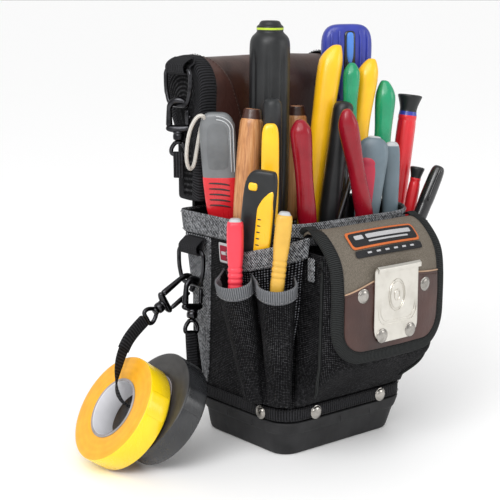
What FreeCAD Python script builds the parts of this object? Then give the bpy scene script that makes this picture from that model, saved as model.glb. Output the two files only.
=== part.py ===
import FreeCAD, Part
import math
import os

# Electrician's tool pouch, millimetres, +Z up.
# Origin: centre of the underside of the moulded base. +X runs to the pouch's right along
# its front, -Y is the front with the pocket flap, and the belt clip is on the +Y side.

V = FreeCAD.Vector

# Clearances
GAP = 0.3                   # free space between fabric pieces of the same body
# Pouch plan at its levels: z, half width, front y, back y, front radius, back radius
BASE_BOTTOM = (0.0, 57.0, -48.0, 48.0, 14.0, 14.0)
BASE_TOP = (27.0, 64.0, -56.0, 50.0, 18.0, 18.0)
BODY_FOOT = (3.4, 53.5, -44.5, 44.5, 11.0, 11.0)
BODY_WAIST = (27.0, 60.6, -52.6, 46.6, 15.0, 15.0)
BODY_COLLAR = (28.0, 62.0, -54.0, 49.0, 17.0, 16.0)
BODY_RIM = (173.0, 75.0, -59.0, 51.5, 39.0, 6.0)
BODY_WALL = 2.4
BODY_FLOOR = 3.0
TRAY_WALL = 3.0
BAND_TOP = 38.0
BAND_THICK = 1.8
RIM_BAND_LOW = 157.0
RIM_BAND_THICK = 1.4
RIVET_R = 5.2
RIVET_DOME = 2.4
# Corner webbing strips, sewn over the two back corners
CORNER_STRIP_FRONT_TOP = 15.0
CORNER_STRIP_FRONT_FOOT = 34.0
CORNER_STRIP_THICK = 1.2
# Side pockets: bulge out from the body and taper to the base band
POCKET_LOW = 40.0
POCKET_TOP = 150.0
POCKET_BULGE_LOW = 2.6
POCKET_BULGE_LEFT = 17.0
POCKET_BULGE_RIGHT = 18.0
POCKET_WALL = 1.5
POCKET_BACK_Y = -24.0
POCKET_BACK_Y_RIGHT = 12.0
POCKET_FRONT_X = 56.0
POCKET_BAND = 15.0
POCKET_BAND_THICK = 1.1
# Slim pockets on the near corner: centre, angle of the outward direction
SLIM_LOW = 42.0
SLIM_TOP = 134.9
SLIM_HALF_WIDTH = 13.2
SLIM_DEPTH = 11.4
SLIM_WALL = 1.4
# Front pocket
FRONT_HALF = 54.0
FRONT_LOW = 41.0
FRONT_TOP = 156.0
FRONT_OUT = -92.0
FRONT_WALL = 2.0
# Flap over the front pocket
FLAP_HALF = 59.0
FLAP_BOTTOM = 72.0
FLAP_OUT = -99.0
FLAP_THICK = 3.0
FLAP_HINGE_Y = -64.3
FLAP_HINGE_Z = 170.0
FLAP_CORNER = 22.0
FLAP_BINDING = 8.5
LEATHER_TOP = 136.0
LEATHER_THICK = 1.2
PLATE_HALF = 23.0
PLATE_LOW = 92.0
PLATE_HIGH = 146.0
PLATE_THICK = 1.4
PLATE_RIVET_Z = 97.0
PLATE_RIVET_X = 15.0
LEATHER_RIVET_Z = 127.5
LEATHER_RIVET_X = 32.8
# Back panel and handle roll
PANEL_HALF = 60.0
PANEL_FRONT = 53.6
PANEL_BACK = 57.8
PANEL_LOW = 24.0
PANEL_HIGH = 214.0
ROLL_HALF = 72.0
ROLL_Y = 48.0
ROLL_Z = 264.0
ROLL_R = 22.5
ROLL_SKIRT_FRONT = 30.0
ROLL_SKIRT_BACK = 53.0
ROLL_SKIRT_LOW = 182.0
ROLL_END_THICK = 2.6
ROLL_EDGING = 12.0
ROLL_EDGING_THICK = 1.2
# Belt clip
CLIP_HALF = 26.0
CLIP_THICK = 1.8
CLIP_LOW = 78.0
CLIP_HIGH = 176.0
CLIP_GAP = 7.0
CLIP_RIVET_X = 14.0
CLIP_RIVET_Z = 164.0
# D-rings and their webbing loops
RING_WIRE_R = 1.6
RING_HALF = 15.0
RING_DROP = 26.0
RING_CORNER = 4.4
LOOP_HALF = 11.0
LOOP_THICK = 1.6
LOOP_THROAT = 4.6
HANDLE_RING = (-82.4, 42.0, 278.0)
RIM_RING = (-81.0, 30.0, 146.5)
# Snap hooks, along their own length from the nose eye
HOOK_R = 7.0
HOOK_WIRE_R = 1.8
HOOK_GATE_R = 1.5
HOOK_LEG_SHORT = 12.0
HOOK_LEG_LONG = 20.0
HOOK_BARREL_R = 4.2
HOOK_BARREL = 7.4
EYE_HALF = 5.6
EYE_WIRE_R = 1.4
EYE_DROP = 10.0
EYE_STRAIGHT = 4.6
# Tools
GRIP_HIDDEN = 14.0          # length of a handle below its visible end
PLIERS_SHANK_R = 2.4
# Tape rolls hanging on the strap
TAPE_R = 40.0
TAPE_BORE = 20.6
TAPE_WIDTH = 19.0
YELLOW_FACE = (-160.4, 18.6, 43.6)
YELLOW_NORMAL = (-0.809, 0.085, 0.581)
BLACK_FACE = (-134.6, 9.5, 43.9)
BLACK_NORMAL = (-0.802, 0.102, 0.589)
# Tape strap: one length of narrow webbing between the two lower hooks
STRAP_R = 2.2
STRAP_ROUTE = [
    (-124.2, 33.2, 96.2),
    (-135.2, 31.0, 90.2),
    (-145.0, 27.6, 80.4),
    (-152.2, 24.0, 67.6),
    (-156.0, 20.4, 53.8),
    (-150.6, 16.6, 42.4),
    (-137.4, 12.4, 38.8),
    (-123.8, 8.6, 36.4),
    (-110.6, 8.2, 31.4),
    (-99.4, 11.0, 34.2),
    (-91.8, 15.2, 45.0),
    (-88.6, 19.0, 58.4),
    (-87.4, 21.6, 70.6),
    (-87.0, 22.9, 82.0),
]
STRAP_BEND = 0.45


def save(shape, name):
    """Writes one closed shape as the sub-part's STEP."""
    shape.exportStep("parts/%s.step" % name)


def plan_wire(level, grow=0.0):
    """Rounded plan of the pouch at a level, moved outwards by grow."""
    height, half, front, back, front_r, back_r = level
    half = half + grow
    front = front - grow
    back = back + grow
    front_r = front_r + grow
    back_r = max(back_r + grow, 1.0)
    corners = [
        (half - back_r, back - back_r, back_r, 0),
        (-half + back_r, back - back_r, back_r, 90),
        (-half + front_r, front + front_r, front_r, 180),
        (half - front_r, front + front_r, front_r, 270),
    ]
    points = []
    for x, y, r, start in corners:
        arc = []
        for turn in (0, 45, 90):
            angle = math.radians(start + turn)
            arc.append(V(x + r * math.cos(angle), y + r * math.sin(angle), height))
        points.append(arc)
    edges = []
    for index, arc in enumerate(points):
        edges.append(Part.Arc(*arc).toShape())
        edges.append(Part.makeLine(arc[2], points[(index + 1) % 4][0]))
    return Part.Wire(edges)


def mix(z, low=BODY_COLLAR, high=BODY_RIM):
    """Pouch plan at height z between two levels."""
    share = (z - low[0]) / (high[0] - low[0])
    return tuple(a + (b - a) * share for a, b in zip(low, high))


def stack(levels, grow=0.0):
    """Solid through the plans of several levels."""
    return Part.makeLoft([plan_wire(level, grow) for level in levels], True, True)


def pouch_form(low, high, grow_low, grow_high):
    """Solid with the pouch's plan between two heights, grown by two amounts."""
    wires = [plan_wire(mix(low), grow_low), plan_wire(mix(high), grow_high)]
    return Part.makeLoft(wires, True, True)


def block(x0, x1, y0, y1, z0, z1):
    """Box between two corners."""
    return Part.makeBox(x1 - x0, y1 - y0, z1 - z0, V(x0, y0, z0))


def rod(start, end, radius, radius_end=None):
    """Cylinder or cone between two points."""
    start = V(*start)
    end = V(*end)
    axis = end - start
    if radius_end is None or abs(radius_end - radius) < 1e-6:
        return Part.makeCylinder(radius, axis.Length, start, axis)
    return Part.makeCone(radius, radius_end, axis.Length, start, axis)


def prism(points, x0, x1):
    """Profile of (y, z) points carried along X."""
    wire = Part.makePolygon([V(x0, y, z) for y, z in points + points[:1]])
    return Part.Face(wire).extrude(V(x1 - x0, 0, 0))


def fuse(shapes):
    """One solid from overlapping shapes."""
    return shapes[0].multiFuse(shapes[1:]).removeSplitter()


def dome(centre, direction, radius=RIVET_R, height=RIVET_DOME):
    """Low domed rivet head standing on a surface."""
    sphere_r = (radius * radius + height * height) / (2 * height)
    base = V(*centre)
    way = V(*direction).normalize()
    ball = Part.makeSphere(sphere_r, base + way * (height - sphere_r))
    cut = Part.makeCylinder(radius + 1, height + 1, base, way)
    return ball.common(cut)


def base_tray():
    """Moulded rubber tray that the fabric body stands in, with a step under its lip."""
    outer = Part.makeLoft([plan_wire(BASE_BOTTOM), plan_wire(BASE_TOP)], True, True)
    hollow = stack([BODY_FOOT, BODY_WAIST], GAP)
    above = stack([BODY_WAIST, (40.0,) + BODY_WAIST[1:]], GAP)
    return outer.cut(hollow).cut(above)


def body_shell():
    """Sewn nylon body, open at the top, with a stiff floor."""
    outer = stack([BODY_FOOT, BODY_WAIST]).fuse(stack([BODY_COLLAR, BODY_RIM]))
    outer = outer.fuse(Part.makeLoft([plan_wire(BODY_WAIST), plan_wire(BODY_COLLAR)], True, True))
    foot = (BODY_FOOT[0] + BODY_FLOOR,) + BODY_FOOT[1:]
    rim = (BODY_RIM[0] + 2.0,) + BODY_RIM[1:]
    inner = stack([foot, BODY_WAIST], -BODY_WALL)
    inner = inner.fuse(Part.makeLoft([plan_wire(BODY_WAIST, -BODY_WALL),
                                      plan_wire(BODY_COLLAR, -BODY_WALL)], True, True))
    inner = inner.fuse(stack([BODY_COLLAR, rim], -BODY_WALL))
    return outer.removeSplitter().cut(inner.removeSplitter())


def wall_ring(low, high, thick, inside=0.0):
    """Webbing band around the body between two heights."""
    outer = pouch_form(low, high, thick + inside, thick + inside)
    return outer.cut(pouch_form(low - 1, high + 1, inside, inside))


def base_band():
    """Webbing band that covers the seam between the tray and the body."""
    return wall_ring(BODY_COLLAR[0], BAND_TOP, BAND_THICK, GAP)


def rim_band():
    """Grey webbing around the mouth."""
    return wall_ring(RIM_BAND_LOW, BODY_RIM[0] + 1.0, RIM_BAND_THICK, GAP)


def base_rivets():
    """Domed rivets through the base band: two in front, one on each side, two behind."""
    z = 32.5
    level = mix(z)
    out = BAND_THICK + GAP
    half = level[1] + out
    front = level[2] - out
    back = level[3] + out
    heads = []
    for x in (-33.0, 33.0):
        heads.append(dome((x, front - 0.2, z), (0, -1, 0)))
        heads.append(dome((x, back + 0.2, z), (0, 1, 0)))
    for side in (-1, 1):
        heads.append(dome((side * (half + 0.2), -31.0, z), (side, 0, 0)))
    return Part.makeCompound(heads)


def corner_strip(side):
    """Webbing strip folded over a back corner, from the rim band down to the base band."""
    skin = wall_ring(BAND_TOP + 0.6, RIM_BAND_LOW - 0.6, CORNER_STRIP_THICK, GAP)
    low = BAND_TOP
    high = RIM_BAND_LOW
    points = [
        (CORNER_STRIP_FRONT_FOOT, low),
        (60.0, low),
        (60.0, high),
        (CORNER_STRIP_FRONT_TOP, high),
    ]
    x0, x1 = (-90.0, -62.0) if side < 0 else (62.0, 90.0)
    return skin.common(prism(points, x0, x1))


def side_pocket_zone(side, back_y, z0, z1):
    """Part of the plan that a side pocket covers: the side and the front corner."""
    if side < 0:
        return block(-120, -POCKET_FRONT_X, -110, back_y, z0, z1)
    return block(POCKET_FRONT_X, 120, -110, back_y, z0, z1)


def side_pocket(side, bulge, back_y):
    """Mesh pocket around a front corner, closed below and at its ends, open at the top."""
    outer = pouch_form(POCKET_LOW, POCKET_TOP, POCKET_BULGE_LOW, bulge)
    inner = pouch_form(POCKET_LOW, POCKET_TOP, POCKET_BULGE_LOW - POCKET_WALL, bulge - POCKET_WALL)
    lift = block(-200, 200, -200, 200, POCKET_LOW - 1, POCKET_LOW + 2.0)
    body = pouch_form(POCKET_LOW - 2, POCKET_TOP + 2, GAP, GAP)
    zone = side_pocket_zone(side, back_y, POCKET_LOW, POCKET_TOP)
    inside = block(-200, -POCKET_FRONT_X - POCKET_WALL, -200, back_y - POCKET_WALL, 0, 200)
    if side > 0:
        inside = block(POCKET_FRONT_X + POCKET_WALL, 200, -200, back_y - POCKET_WALL, 0, 200)
    hollow = inner.cut(lift).common(inside)
    shape = outer.cut(hollow).cut(body).common(zone)
    return shape


def side_pocket_band(side, bulge, back_y):
    """Grey webbing on the pocket's top edge."""
    low = POCKET_TOP - POCKET_BAND
    at_low = POCKET_BULGE_LOW + (bulge - POCKET_BULGE_LOW) * (low - POCKET_LOW) / (POCKET_TOP - POCKET_LOW)
    near = GAP
    outer = pouch_form(low, POCKET_TOP, at_low + near + POCKET_BAND_THICK, bulge + near + POCKET_BAND_THICK)
    slope = (bulge - at_low) / POCKET_BAND
    inner = pouch_form(low - 1, POCKET_TOP + 1, at_low + near - slope, bulge + near + slope)
    return outer.cut(inner).common(side_pocket_zone(side, back_y, low, POCKET_TOP))


def oval(centre, out_angle, half_width, depth, z):
    """Oval wire around a slim pocket's centre, its depth along the outward direction."""
    across = V(-math.sin(out_angle), math.cos(out_angle), 0)
    outward = V(math.cos(out_angle), math.sin(out_angle), 0)
    middle = V(centre[0], centre[1], z)
    if half_width >= depth:
        curve = Part.Ellipse(middle + across * half_width, middle + outward * depth, middle)
    else:
        curve = Part.Ellipse(middle + outward * depth, middle + across * half_width, middle)
    return Part.Wire([curve.toShape()])


def slim_pocket(centre, foot):
    """Narrow pocket sewn on the outside of the near side pocket, tapering downwards."""
    angle = math.atan2(centre[1] + 22.6, centre[0] + 37.3)
    outer = Part.makeLoft([
        oval(foot, angle, SLIM_HALF_WIDTH * 0.62, SLIM_DEPTH * 0.5, SLIM_LOW),
        oval(centre, angle, SLIM_HALF_WIDTH, SLIM_DEPTH, SLIM_TOP),
    ], True, True)
    inner = Part.makeLoft([
        oval(foot, angle, SLIM_HALF_WIDTH * 0.62 - SLIM_WALL, SLIM_DEPTH * 0.5 - SLIM_WALL, SLIM_LOW + 3),
        oval(centre, angle, SLIM_HALF_WIDTH - SLIM_WALL, SLIM_DEPTH - SLIM_WALL, SLIM_TOP + 0.1),
    ], True, True)
    high = POCKET_TOP
    carrier = pouch_form(POCKET_LOW - 2, high, POCKET_BULGE_LOW + GAP, POCKET_BULGE_LEFT + GAP)
    shape = outer.cut(inner).cut(carrier)
    solids = sorted(shape.Solids, key=lambda s: -s.Volume)
    return solids[0]


def front_pocket():
    """Boxy pocket under the flap; its front slopes in to the base band."""
    floor = mix(FRONT_LOW)[2]
    top = mix(FRONT_TOP)[2]
    outer = prism([
        (floor - GAP, FRONT_LOW),
        (floor - 5.0, FRONT_LOW),
        (FRONT_OUT, FRONT_LOW + 34.0),
        (FRONT_OUT, FRONT_TOP - 6.0),
        (FRONT_OUT + 4.0, FRONT_TOP),
        (top - GAP, FRONT_TOP),
    ], -FRONT_HALF, FRONT_HALF)
    inner = prism([
        (floor - GAP - FRONT_WALL, FRONT_LOW + 4.0),
        (floor - 5.0, FRONT_LOW + 4.0),
        (FRONT_OUT + FRONT_WALL, FRONT_LOW + 35.0),
        (FRONT_OUT + FRONT_WALL, FRONT_TOP + 1.0),
        (top - GAP - FRONT_WALL, FRONT_TOP + 1.0),
    ], -FRONT_HALF + FRONT_WALL, FRONT_HALF - FRONT_WALL)
    body = pouch_form(FRONT_LOW - 2, FRONT_TOP + 2, GAP, GAP)
    return outer.cut(inner).cut(body)


def flap_profile(grow):
    """Flap's outer line from the rim forwards and down, moved outwards by grow."""
    return [
        (FLAP_HINGE_Y, FLAP_HINGE_Z + grow),
        (FLAP_HINGE_Y - 12.0, FLAP_HINGE_Z + grow),
        (FLAP_OUT + 11.0, FLAP_HINGE_Z - 7.0 + grow),
        (FLAP_OUT + 2.5 - grow * 0.8, FLAP_HINGE_Z - 18.0 + grow * 0.5),
        (FLAP_OUT - grow, FLAP_HINGE_Z - 36.0),
        (FLAP_OUT - grow, FLAP_BOTTOM - 20.0),
    ]


def flap_layer(near, far, half, bottom, corner, top=None):
    """Layer of the flap between two offsets, with rounded lower corners."""
    outline = flap_profile(far) + flap_profile(near)[::-1]
    layer = prism(outline, -half, half)
    high = 400.0 if top is None else top
    mask = block(-half, half, -200, FLAP_HINGE_Y + 1, bottom, high)
    edges = []
    for edge in mask.Edges:
        ends = [v.Point for v in edge.Vertexes]
        if all(abs(p.z - bottom) < 1e-6 for p in ends) and abs(ends[0].y - ends[1].y) > 10:
            edges.append(edge)
    return layer.common(mask.makeFillet(corner, edges))


def flap():
    """Canvas flap with its lining, inside the bound edge."""
    return flap_layer(0.0, FLAP_THICK, FLAP_HALF - 1.2, FLAP_BOTTOM + 1.2, FLAP_CORNER - 1.2)


def flap_binding():
    """Grosgrain folded over the flap's edge, on its outer side."""
    near = FLAP_THICK + 0.05
    far = near + 1.0
    band = flap_layer(near, far, FLAP_HALF, FLAP_BOTTOM, FLAP_CORNER)
    inside = flap_layer(near - 1, far + 1, FLAP_HALF - FLAP_BINDING, FLAP_BOTTOM + FLAP_BINDING,
                        FLAP_CORNER - FLAP_BINDING)
    return band.cut(inside).common(block(-100, 100, -200, FLAP_HINGE_Y - 12.5, 0, 300))


def flap_leather():
    """Leather apron on the flap's lower part."""
    near = FLAP_THICK + 0.05
    return flap_layer(near, near + LEATHER_THICK, FLAP_HALF - FLAP_BINDING - 0.1,
                      FLAP_BOTTOM + FLAP_BINDING + 0.1, FLAP_CORNER - FLAP_BINDING - 0.1, LEATHER_TOP)


def clip_plate():
    """Pressed steel plate for a tape measure's clip, with a folded top edge."""
    back = FLAP_OUT - FLAP_THICK - LEATHER_THICK - 0.1
    plate = block(-PLATE_HALF, PLATE_HALF, back - PLATE_THICK, back, PLATE_LOW, PLATE_HIGH)
    low = [e for e in plate.Edges if abs(e.BoundBox.ZMax - PLATE_LOW) < 1e-6 and e.BoundBox.YLength > 1
           and e.BoundBox.XLength < 1e-6]
    plate = plate.makeFillet(14.0, low)
    fold = rod((-PLATE_HALF + 3, back - PLATE_THICK - 0.6, PLATE_HIGH - 1.4),
               (PLATE_HALF - 3, back - PLATE_THICK - 0.6, PLATE_HIGH - 1.4), 1.6)
    return plate.fuse(fold)


def flap_rivets():
    """Two rivets at the clip plate's lower end and two through the leather beside it."""
    leather = FLAP_OUT - FLAP_THICK - LEATHER_THICK - 0.05
    plate = leather - 0.05 - PLATE_THICK
    heads = []
    for side in (-1, 1):
        heads.append(dome((side * PLATE_RIVET_X, plate - 0.05, PLATE_RIVET_Z), (0, -1, 0), 5.4, 1.8))
        heads.append(dome((side * LEATHER_RIVET_X, leather - 0.05, LEATHER_RIVET_Z), (0, -1, 0), 5.4, 2.0))
    return Part.makeCompound(heads)


def back_panel():
    """Stiffened panel behind the body that carries the handle and the belt clip."""
    return block(-PANEL_HALF, PANEL_HALF, PANEL_FRONT, PANEL_BACK, PANEL_LOW + 16, PANEL_HIGH)


def roll_outline(grow):
    """Teardrop section of the handle roll: a round top over a flat skirt."""
    r = ROLL_R + grow
    front = ROLL_SKIRT_FRONT - grow
    back = ROLL_SKIRT_BACK + grow
    points = [(front, ROLL_SKIRT_LOW), (back, ROLL_SKIRT_LOW), (back, PANEL_HIGH + 1)]
    for step in range(0, 25):
        angle = math.radians(-18 + 208 * step / 24.0)
        points.append((ROLL_Y + r * math.cos(angle), ROLL_Z + r * math.sin(angle)))
    return points


def handle_roll():
    """Padded leather roll that serves as the carrying handle."""
    return prism(roll_outline(0.0), -ROLL_HALF, ROLL_HALF)


def handle_end(side):
    """Black fabric end of the roll with webbing edging folded round it."""
    outer = prism(roll_outline(ROLL_EDGING_THICK), 0, ROLL_EDGING + ROLL_END_THICK)
    inner = prism(roll_outline(0.05), -1, ROLL_EDGING)
    cap = outer.cut(inner)
    cap = cap.cut(block(-5, 50, PANEL_FRONT - 0.6, 60, ROLL_SKIRT_LOW - 5, PANEL_HIGH + 0.5))
    if side > 0:
        cap.translate(V(ROLL_HALF - ROLL_EDGING + 0.05, 0, 0))
        return cap
    return cap.mirror(V(0, 0, 0), V(1, 0, 0)).translated(V(-ROLL_HALF + ROLL_EDGING - 0.05, 0, 0))


def belt_clip():
    """Spring steel belt clip folded over at the top, with a flared tip."""
    y0 = PANEL_BACK + 0.05
    y1 = y0 + CLIP_THICK
    y2 = y1 + CLIP_GAP
    y3 = y2 + CLIP_THICK
    profile = [
        (y0, CLIP_LOW + 48), (y1, CLIP_LOW + 48), (y1, CLIP_HIGH - 4), (y1 + 2, CLIP_HIGH - 2),
        (y2 - 2, CLIP_HIGH - 2), (y2, CLIP_HIGH - 4), (y2, CLIP_LOW + 10), (y2 + 5, CLIP_LOW),
        (y3 + 4.5, CLIP_LOW), (y3, CLIP_LOW + 10.5), (y3, CLIP_HIGH - 3), (y2 - 1, CLIP_HIGH),
        (y1 + 1, CLIP_HIGH), (y0, CLIP_HIGH - 3),
    ]
    return prism(profile, -CLIP_HALF, CLIP_HALF)


def belt_clip_rivets():
    """Rivets that hold the belt clip's root to the back panel."""
    face = PANEL_BACK + 0.05 + CLIP_THICK
    return Part.makeCompound([dome((x, face + 0.05, CLIP_LOW + 58), (0, 1, 0), 4.6, 1.8)
                              for x in (-CLIP_RIVET_X, CLIP_RIVET_X)])


def smooth_tube(points, radius, bend=STRAP_BEND):
    """Tube of straight runs and tangent arcs; returns it with its arc radii and length."""
    edges = []
    radii = []
    length = 0.0
    last = points[0]
    for index in range(1, len(points) - 1):
        before = points[index] - points[index - 1]
        after = points[index + 1] - points[index]
        reach = bend * min(before.Length, after.Length)
        turn = before.getAngle(after)
        start = points[index] - V(before).normalize() * reach
        end = points[index] + V(after).normalize() * reach
        r = reach / math.tan(turn / 2)
        radii.append(r)
        toward = (V(after).normalize() - V(before).normalize()).normalize()
        centre_gap = r / math.cos(turn / 2)
        middle = points[index] + toward * (centre_gap - r)
        edges.append(Part.makeLine(last, start))
        edges.append(Part.Arc(start, middle, end).toShape())
        length += (start - last).Length + r * turn
        last = end
    edges.append(Part.makeLine(last, points[-1]))
    length += (points[-1] - last).Length
    path = Part.Wire(edges)
    way = points[1] - points[0]
    profile = Part.Wire([Part.Circle(points[0], way, radius).toShape()])
    return path.makePipeShell([profile], True, False), radii, length


def d_ring(anchor):
    """D-ring hanging in the YZ plane from the straight bar in its webbing loop."""
    x, y, z = anchor
    half = RING_HALF
    drop = RING_DROP
    points = [
        (x, y, z), (x, y - half, z), (x, y - half, z - drop * 0.55), (x, y - half * 0.72, z - drop),
        (x, y + half * 0.72, z - drop), (x, y + half, z - drop * 0.55), (x, y + half, z), (x, y, z),
    ]
    ring = [V(*p) for p in points]
    edges = []
    corner = ring[1:-1]
    starts = []
    for index, point in enumerate(corner):
        before = ring[index] if index == 0 else corner[index - 1]
        after = corner[index + 1] if index + 1 < len(corner) else ring[-1]
        into = (point - before)
        away = (after - point)
        reach = min(RING_CORNER, 0.48 * into.Length, 0.48 * away.Length)
        turn = into.getAngle(away)
        start = point - V(into).normalize() * reach
        end = point + V(away).normalize() * reach
        r = reach / math.tan(turn / 2)
        toward = (V(away).normalize() - V(into).normalize()).normalize()
        middle = point + toward * (r / math.cos(turn / 2) - r)
        starts.append((start, middle, end))
    last = ring[0]
    for start, middle, end in starts:
        edges.append(Part.makeLine(last, start))
        edges.append(Part.Arc(start, middle, end).toShape())
        last = end
    edges.append(Part.makeLine(last, ring[-1]))
    profile = Part.Wire([Part.Circle(ring[0], V(0, 1, 0), RING_WIRE_R).toShape()])
    return Part.Wire(edges).makePipeShell([profile], True, False)


def ring_loop(anchor, plate_high, wall_x):
    """Webbing loop round a D-ring's bar, sewn flat to the wall behind it."""
    x, y, z = anchor
    r = RING_WIRE_R + 0.25
    y0 = y - LOOP_HALF
    y1 = y + LOOP_HALF
    out = r + LOOP_THICK
    turn = Part.makeCylinder(out, 2 * LOOP_HALF, V(x, y0, z), V(0, 1, 0))
    throat = block(x - out, x + out, y0, y1, z, z + LOOP_THROAT)
    join = block(x - out, wall_x, y0, y1, z + LOOP_THROAT, z + LOOP_THROAT + LOOP_THICK)
    tail = block(wall_x - LOOP_THICK, wall_x, y0, y1, z + LOOP_THROAT - 6.0, plate_high)
    hole = Part.makeCylinder(r, 2 * LOOP_HALF + 2, V(x, y0 - 1, z), V(0, 1, 0))
    slot = block(x - r, x + r, y0 - 1, y1 + 1, z, z + LOOP_THROAT)
    return fuse([turn, throat, join, tail]).cut(hole).cut(slot)


def hook_frame(origin, direction, flat):
    """Placement with local -Z along the hook's length and local X across it."""
    down = V(*direction).normalize()
    z_axis = V(-down.x, -down.y, -down.z)
    normal = V(*flat).normalize()
    x_axis = normal.cross(z_axis).normalize()
    y_axis = z_axis.cross(x_axis)
    matrix = FreeCAD.Matrix(
        x_axis.x, y_axis.x, z_axis.x, origin[0],
        x_axis.y, y_axis.y, z_axis.y, origin[1],
        x_axis.z, y_axis.z, z_axis.z, origin[2],
        0, 0, 0, 1)
    return FreeCAD.Placement(matrix)


def hook_body(frame, leg):
    """Hook, spine and swivel barrel of a snap hook, in one casting."""
    r = HOOK_R
    start = V(r * math.cos(math.radians(12)), 0, r * math.sin(math.radians(12)))
    arc = Part.Arc(start, V(0, 0, r), V(-r, 0, 0)).toShape()
    spine = Part.makeLine(V(-r, 0, 0), V(-r, 0, -leg))
    way = V(-math.sin(math.radians(12)), 0, math.cos(math.radians(12)))
    profile = Part.Wire([Part.Circle(start, way, HOOK_WIRE_R).toShape()])
    bar = Part.Wire([arc, spine]).makePipeShell([profile], True, False)
    foot = Part.makeBox(2 * r + 4.0, 5.0, 5.0, V(-r - 2.0, -2.5, -leg - 4.0))
    neck = Part.makeCone(HOOK_BARREL_R * 0.8, HOOK_BARREL_R, HOOK_BARREL, V(0, 0, -leg - 3.0 - HOOK_BARREL))
    nose = Part.makeSphere(HOOK_WIRE_R, start)
    shape = fuse([bar, foot, neck, nose])
    shape.Placement = frame.multiply(shape.Placement)
    return shape


def hook_gate(frame, leg):
    """Spring gate that closes the hook's mouth."""
    r = HOOK_R
    low = V(r, 0, -leg + 2.9)
    high = V(r, 0, -2.6)
    shape = Part.makeCylinder(HOOK_GATE_R, (high - low).Length, low, high - low)
    shape = shape.fuse(Part.makeSphere(HOOK_GATE_R, high)).removeSplitter()
    shape.Placement = frame.multiply(shape.Placement)
    return shape


def eye_top(leg):
    """Height of the swivelling eye's top in the hook's frame."""
    return -leg - 3.0 - HOOK_BARREL - 0.3


def hook_eye(frame, leg):
    """Swivelling eye that the webbing is sewn through."""
    top = eye_top(leg)
    half = EYE_HALF
    low = top - EYE_DROP
    plate = Part.makeCylinder(3.4, 2.4, V(0, 0, top - 2.4))
    legs = []
    for side in (-1, 1):
        legs.append(rod((side * 1.5, 0, top - 1.4), (side * half, 0, low + EYE_STRAIGHT), EYE_WIRE_R))
        legs.append(rod((side * half, 0, low), (side * half, 0, low + EYE_STRAIGHT), EYE_WIRE_R))
        legs.append(Part.makeSphere(EYE_WIRE_R, V(side * half, 0, low + EYE_STRAIGHT)))
    bar = rod((-half, 0, low), (half, 0, low), EYE_WIRE_R)
    ends = [Part.makeSphere(EYE_WIRE_R, V(side * half, 0, low)) for side in (-1, 1)]
    shape = fuse([plate, bar] + legs + ends)
    shape.Placement = frame.multiply(shape.Placement)
    return shape


def webbing_tab(frame, leg):
    """Short folded webbing tail sewn round the free eye's bar."""
    low = eye_top(leg) - EYE_DROP
    r = EYE_WIRE_R + 0.05
    half = EYE_HALF - EYE_WIRE_R - 0.2
    thick = 1.2
    turn = Part.makeCylinder(r + thick, 2 * half, V(-half, 0, low), V(1, 0, 0))
    tail = Part.makeBox(2 * half, 2 * (r + thick), 18.0, V(-half, -r - thick, low - 18.0))
    hole = Part.makeCylinder(r, 2 * half + 2, V(-half - 1, 0, low), V(1, 0, 0))
    shape = turn.fuse(tail).cut(hole)
    shape.Placement = frame.multiply(shape.Placement)
    return shape


def tape_roll(face, normal, inner, outer):
    """Ring of tape or its core, its axis along the outer face's normal."""
    way = V(*normal).normalize()
    start = V(*face) - way * TAPE_WIDTH
    ring = Part.makeCylinder(outer, TAPE_WIDTH, start, way)
    bore = Part.makeCylinder(inner, TAPE_WIDTH + 2, start - way, way)
    return ring.cut(bore)


def hung_on(ring, side, direction):
    """Point that a hook's nose arc is centred on when it hangs on a ring's lower bar."""
    way = V(*direction).normalize()
    bar = V(ring[0], ring[1] + side, ring[2] - RING_DROP)
    point = bar + way * (HOOK_R - HOOK_WIRE_R - RING_WIRE_R - 0.3)
    return (point.x, point.y, point.z)


FRONT_HOOK_WAY = (-0.874, 0.0, -0.486)
REAR_HOOK_WAY = (-0.16, -0.10, -1.0)
HANDLE_HOOK = hook_frame(hung_on(HANDLE_RING, 0.0, (0, 0, -1)), (0, 0, -1), (0.8, 0.6, 0))
HOOK_A = hook_frame(hung_on(RIM_RING, 3.3, FRONT_HOOK_WAY), FRONT_HOOK_WAY, (0, 1, 0))
HOOK_B = hook_frame(hung_on(RIM_RING, -3.3, REAR_HOOK_WAY), REAR_HOOK_WAY, (0, 1, 0))


def grip(top, low, radius):
    """Round handle with a rounded top, ending a little below its lower visible end."""
    way = (top - low).normalize()
    foot = low - way * GRIP_HIDDEN
    shape = Part.makeCylinder(radius, (top - foot).Length, foot, way)
    rims = [e for e in shape.Edges if e.isClosed()]
    rims = sorted(rims, key=lambda e: -e.CenterOfMass.z)[:1]
    return shape.makeFillet(min(radius * 0.55, 5.0), rims)


def round_tool(top, low, radius, tip_z, tang):
    """Round handle with a shaft below it that ends at tip_z."""
    top = V(*top)
    low = V(*low)
    way = (top - low).normalize()
    foot = low - way * GRIP_HIDDEN
    end = low + way * ((tip_z - low.z) / way.z)
    shaft = Part.makeCylinder(tang, (foot - end).Length + 1, end, way)
    return grip(top, low, radius).fuse(shaft).removeSplitter()


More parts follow.
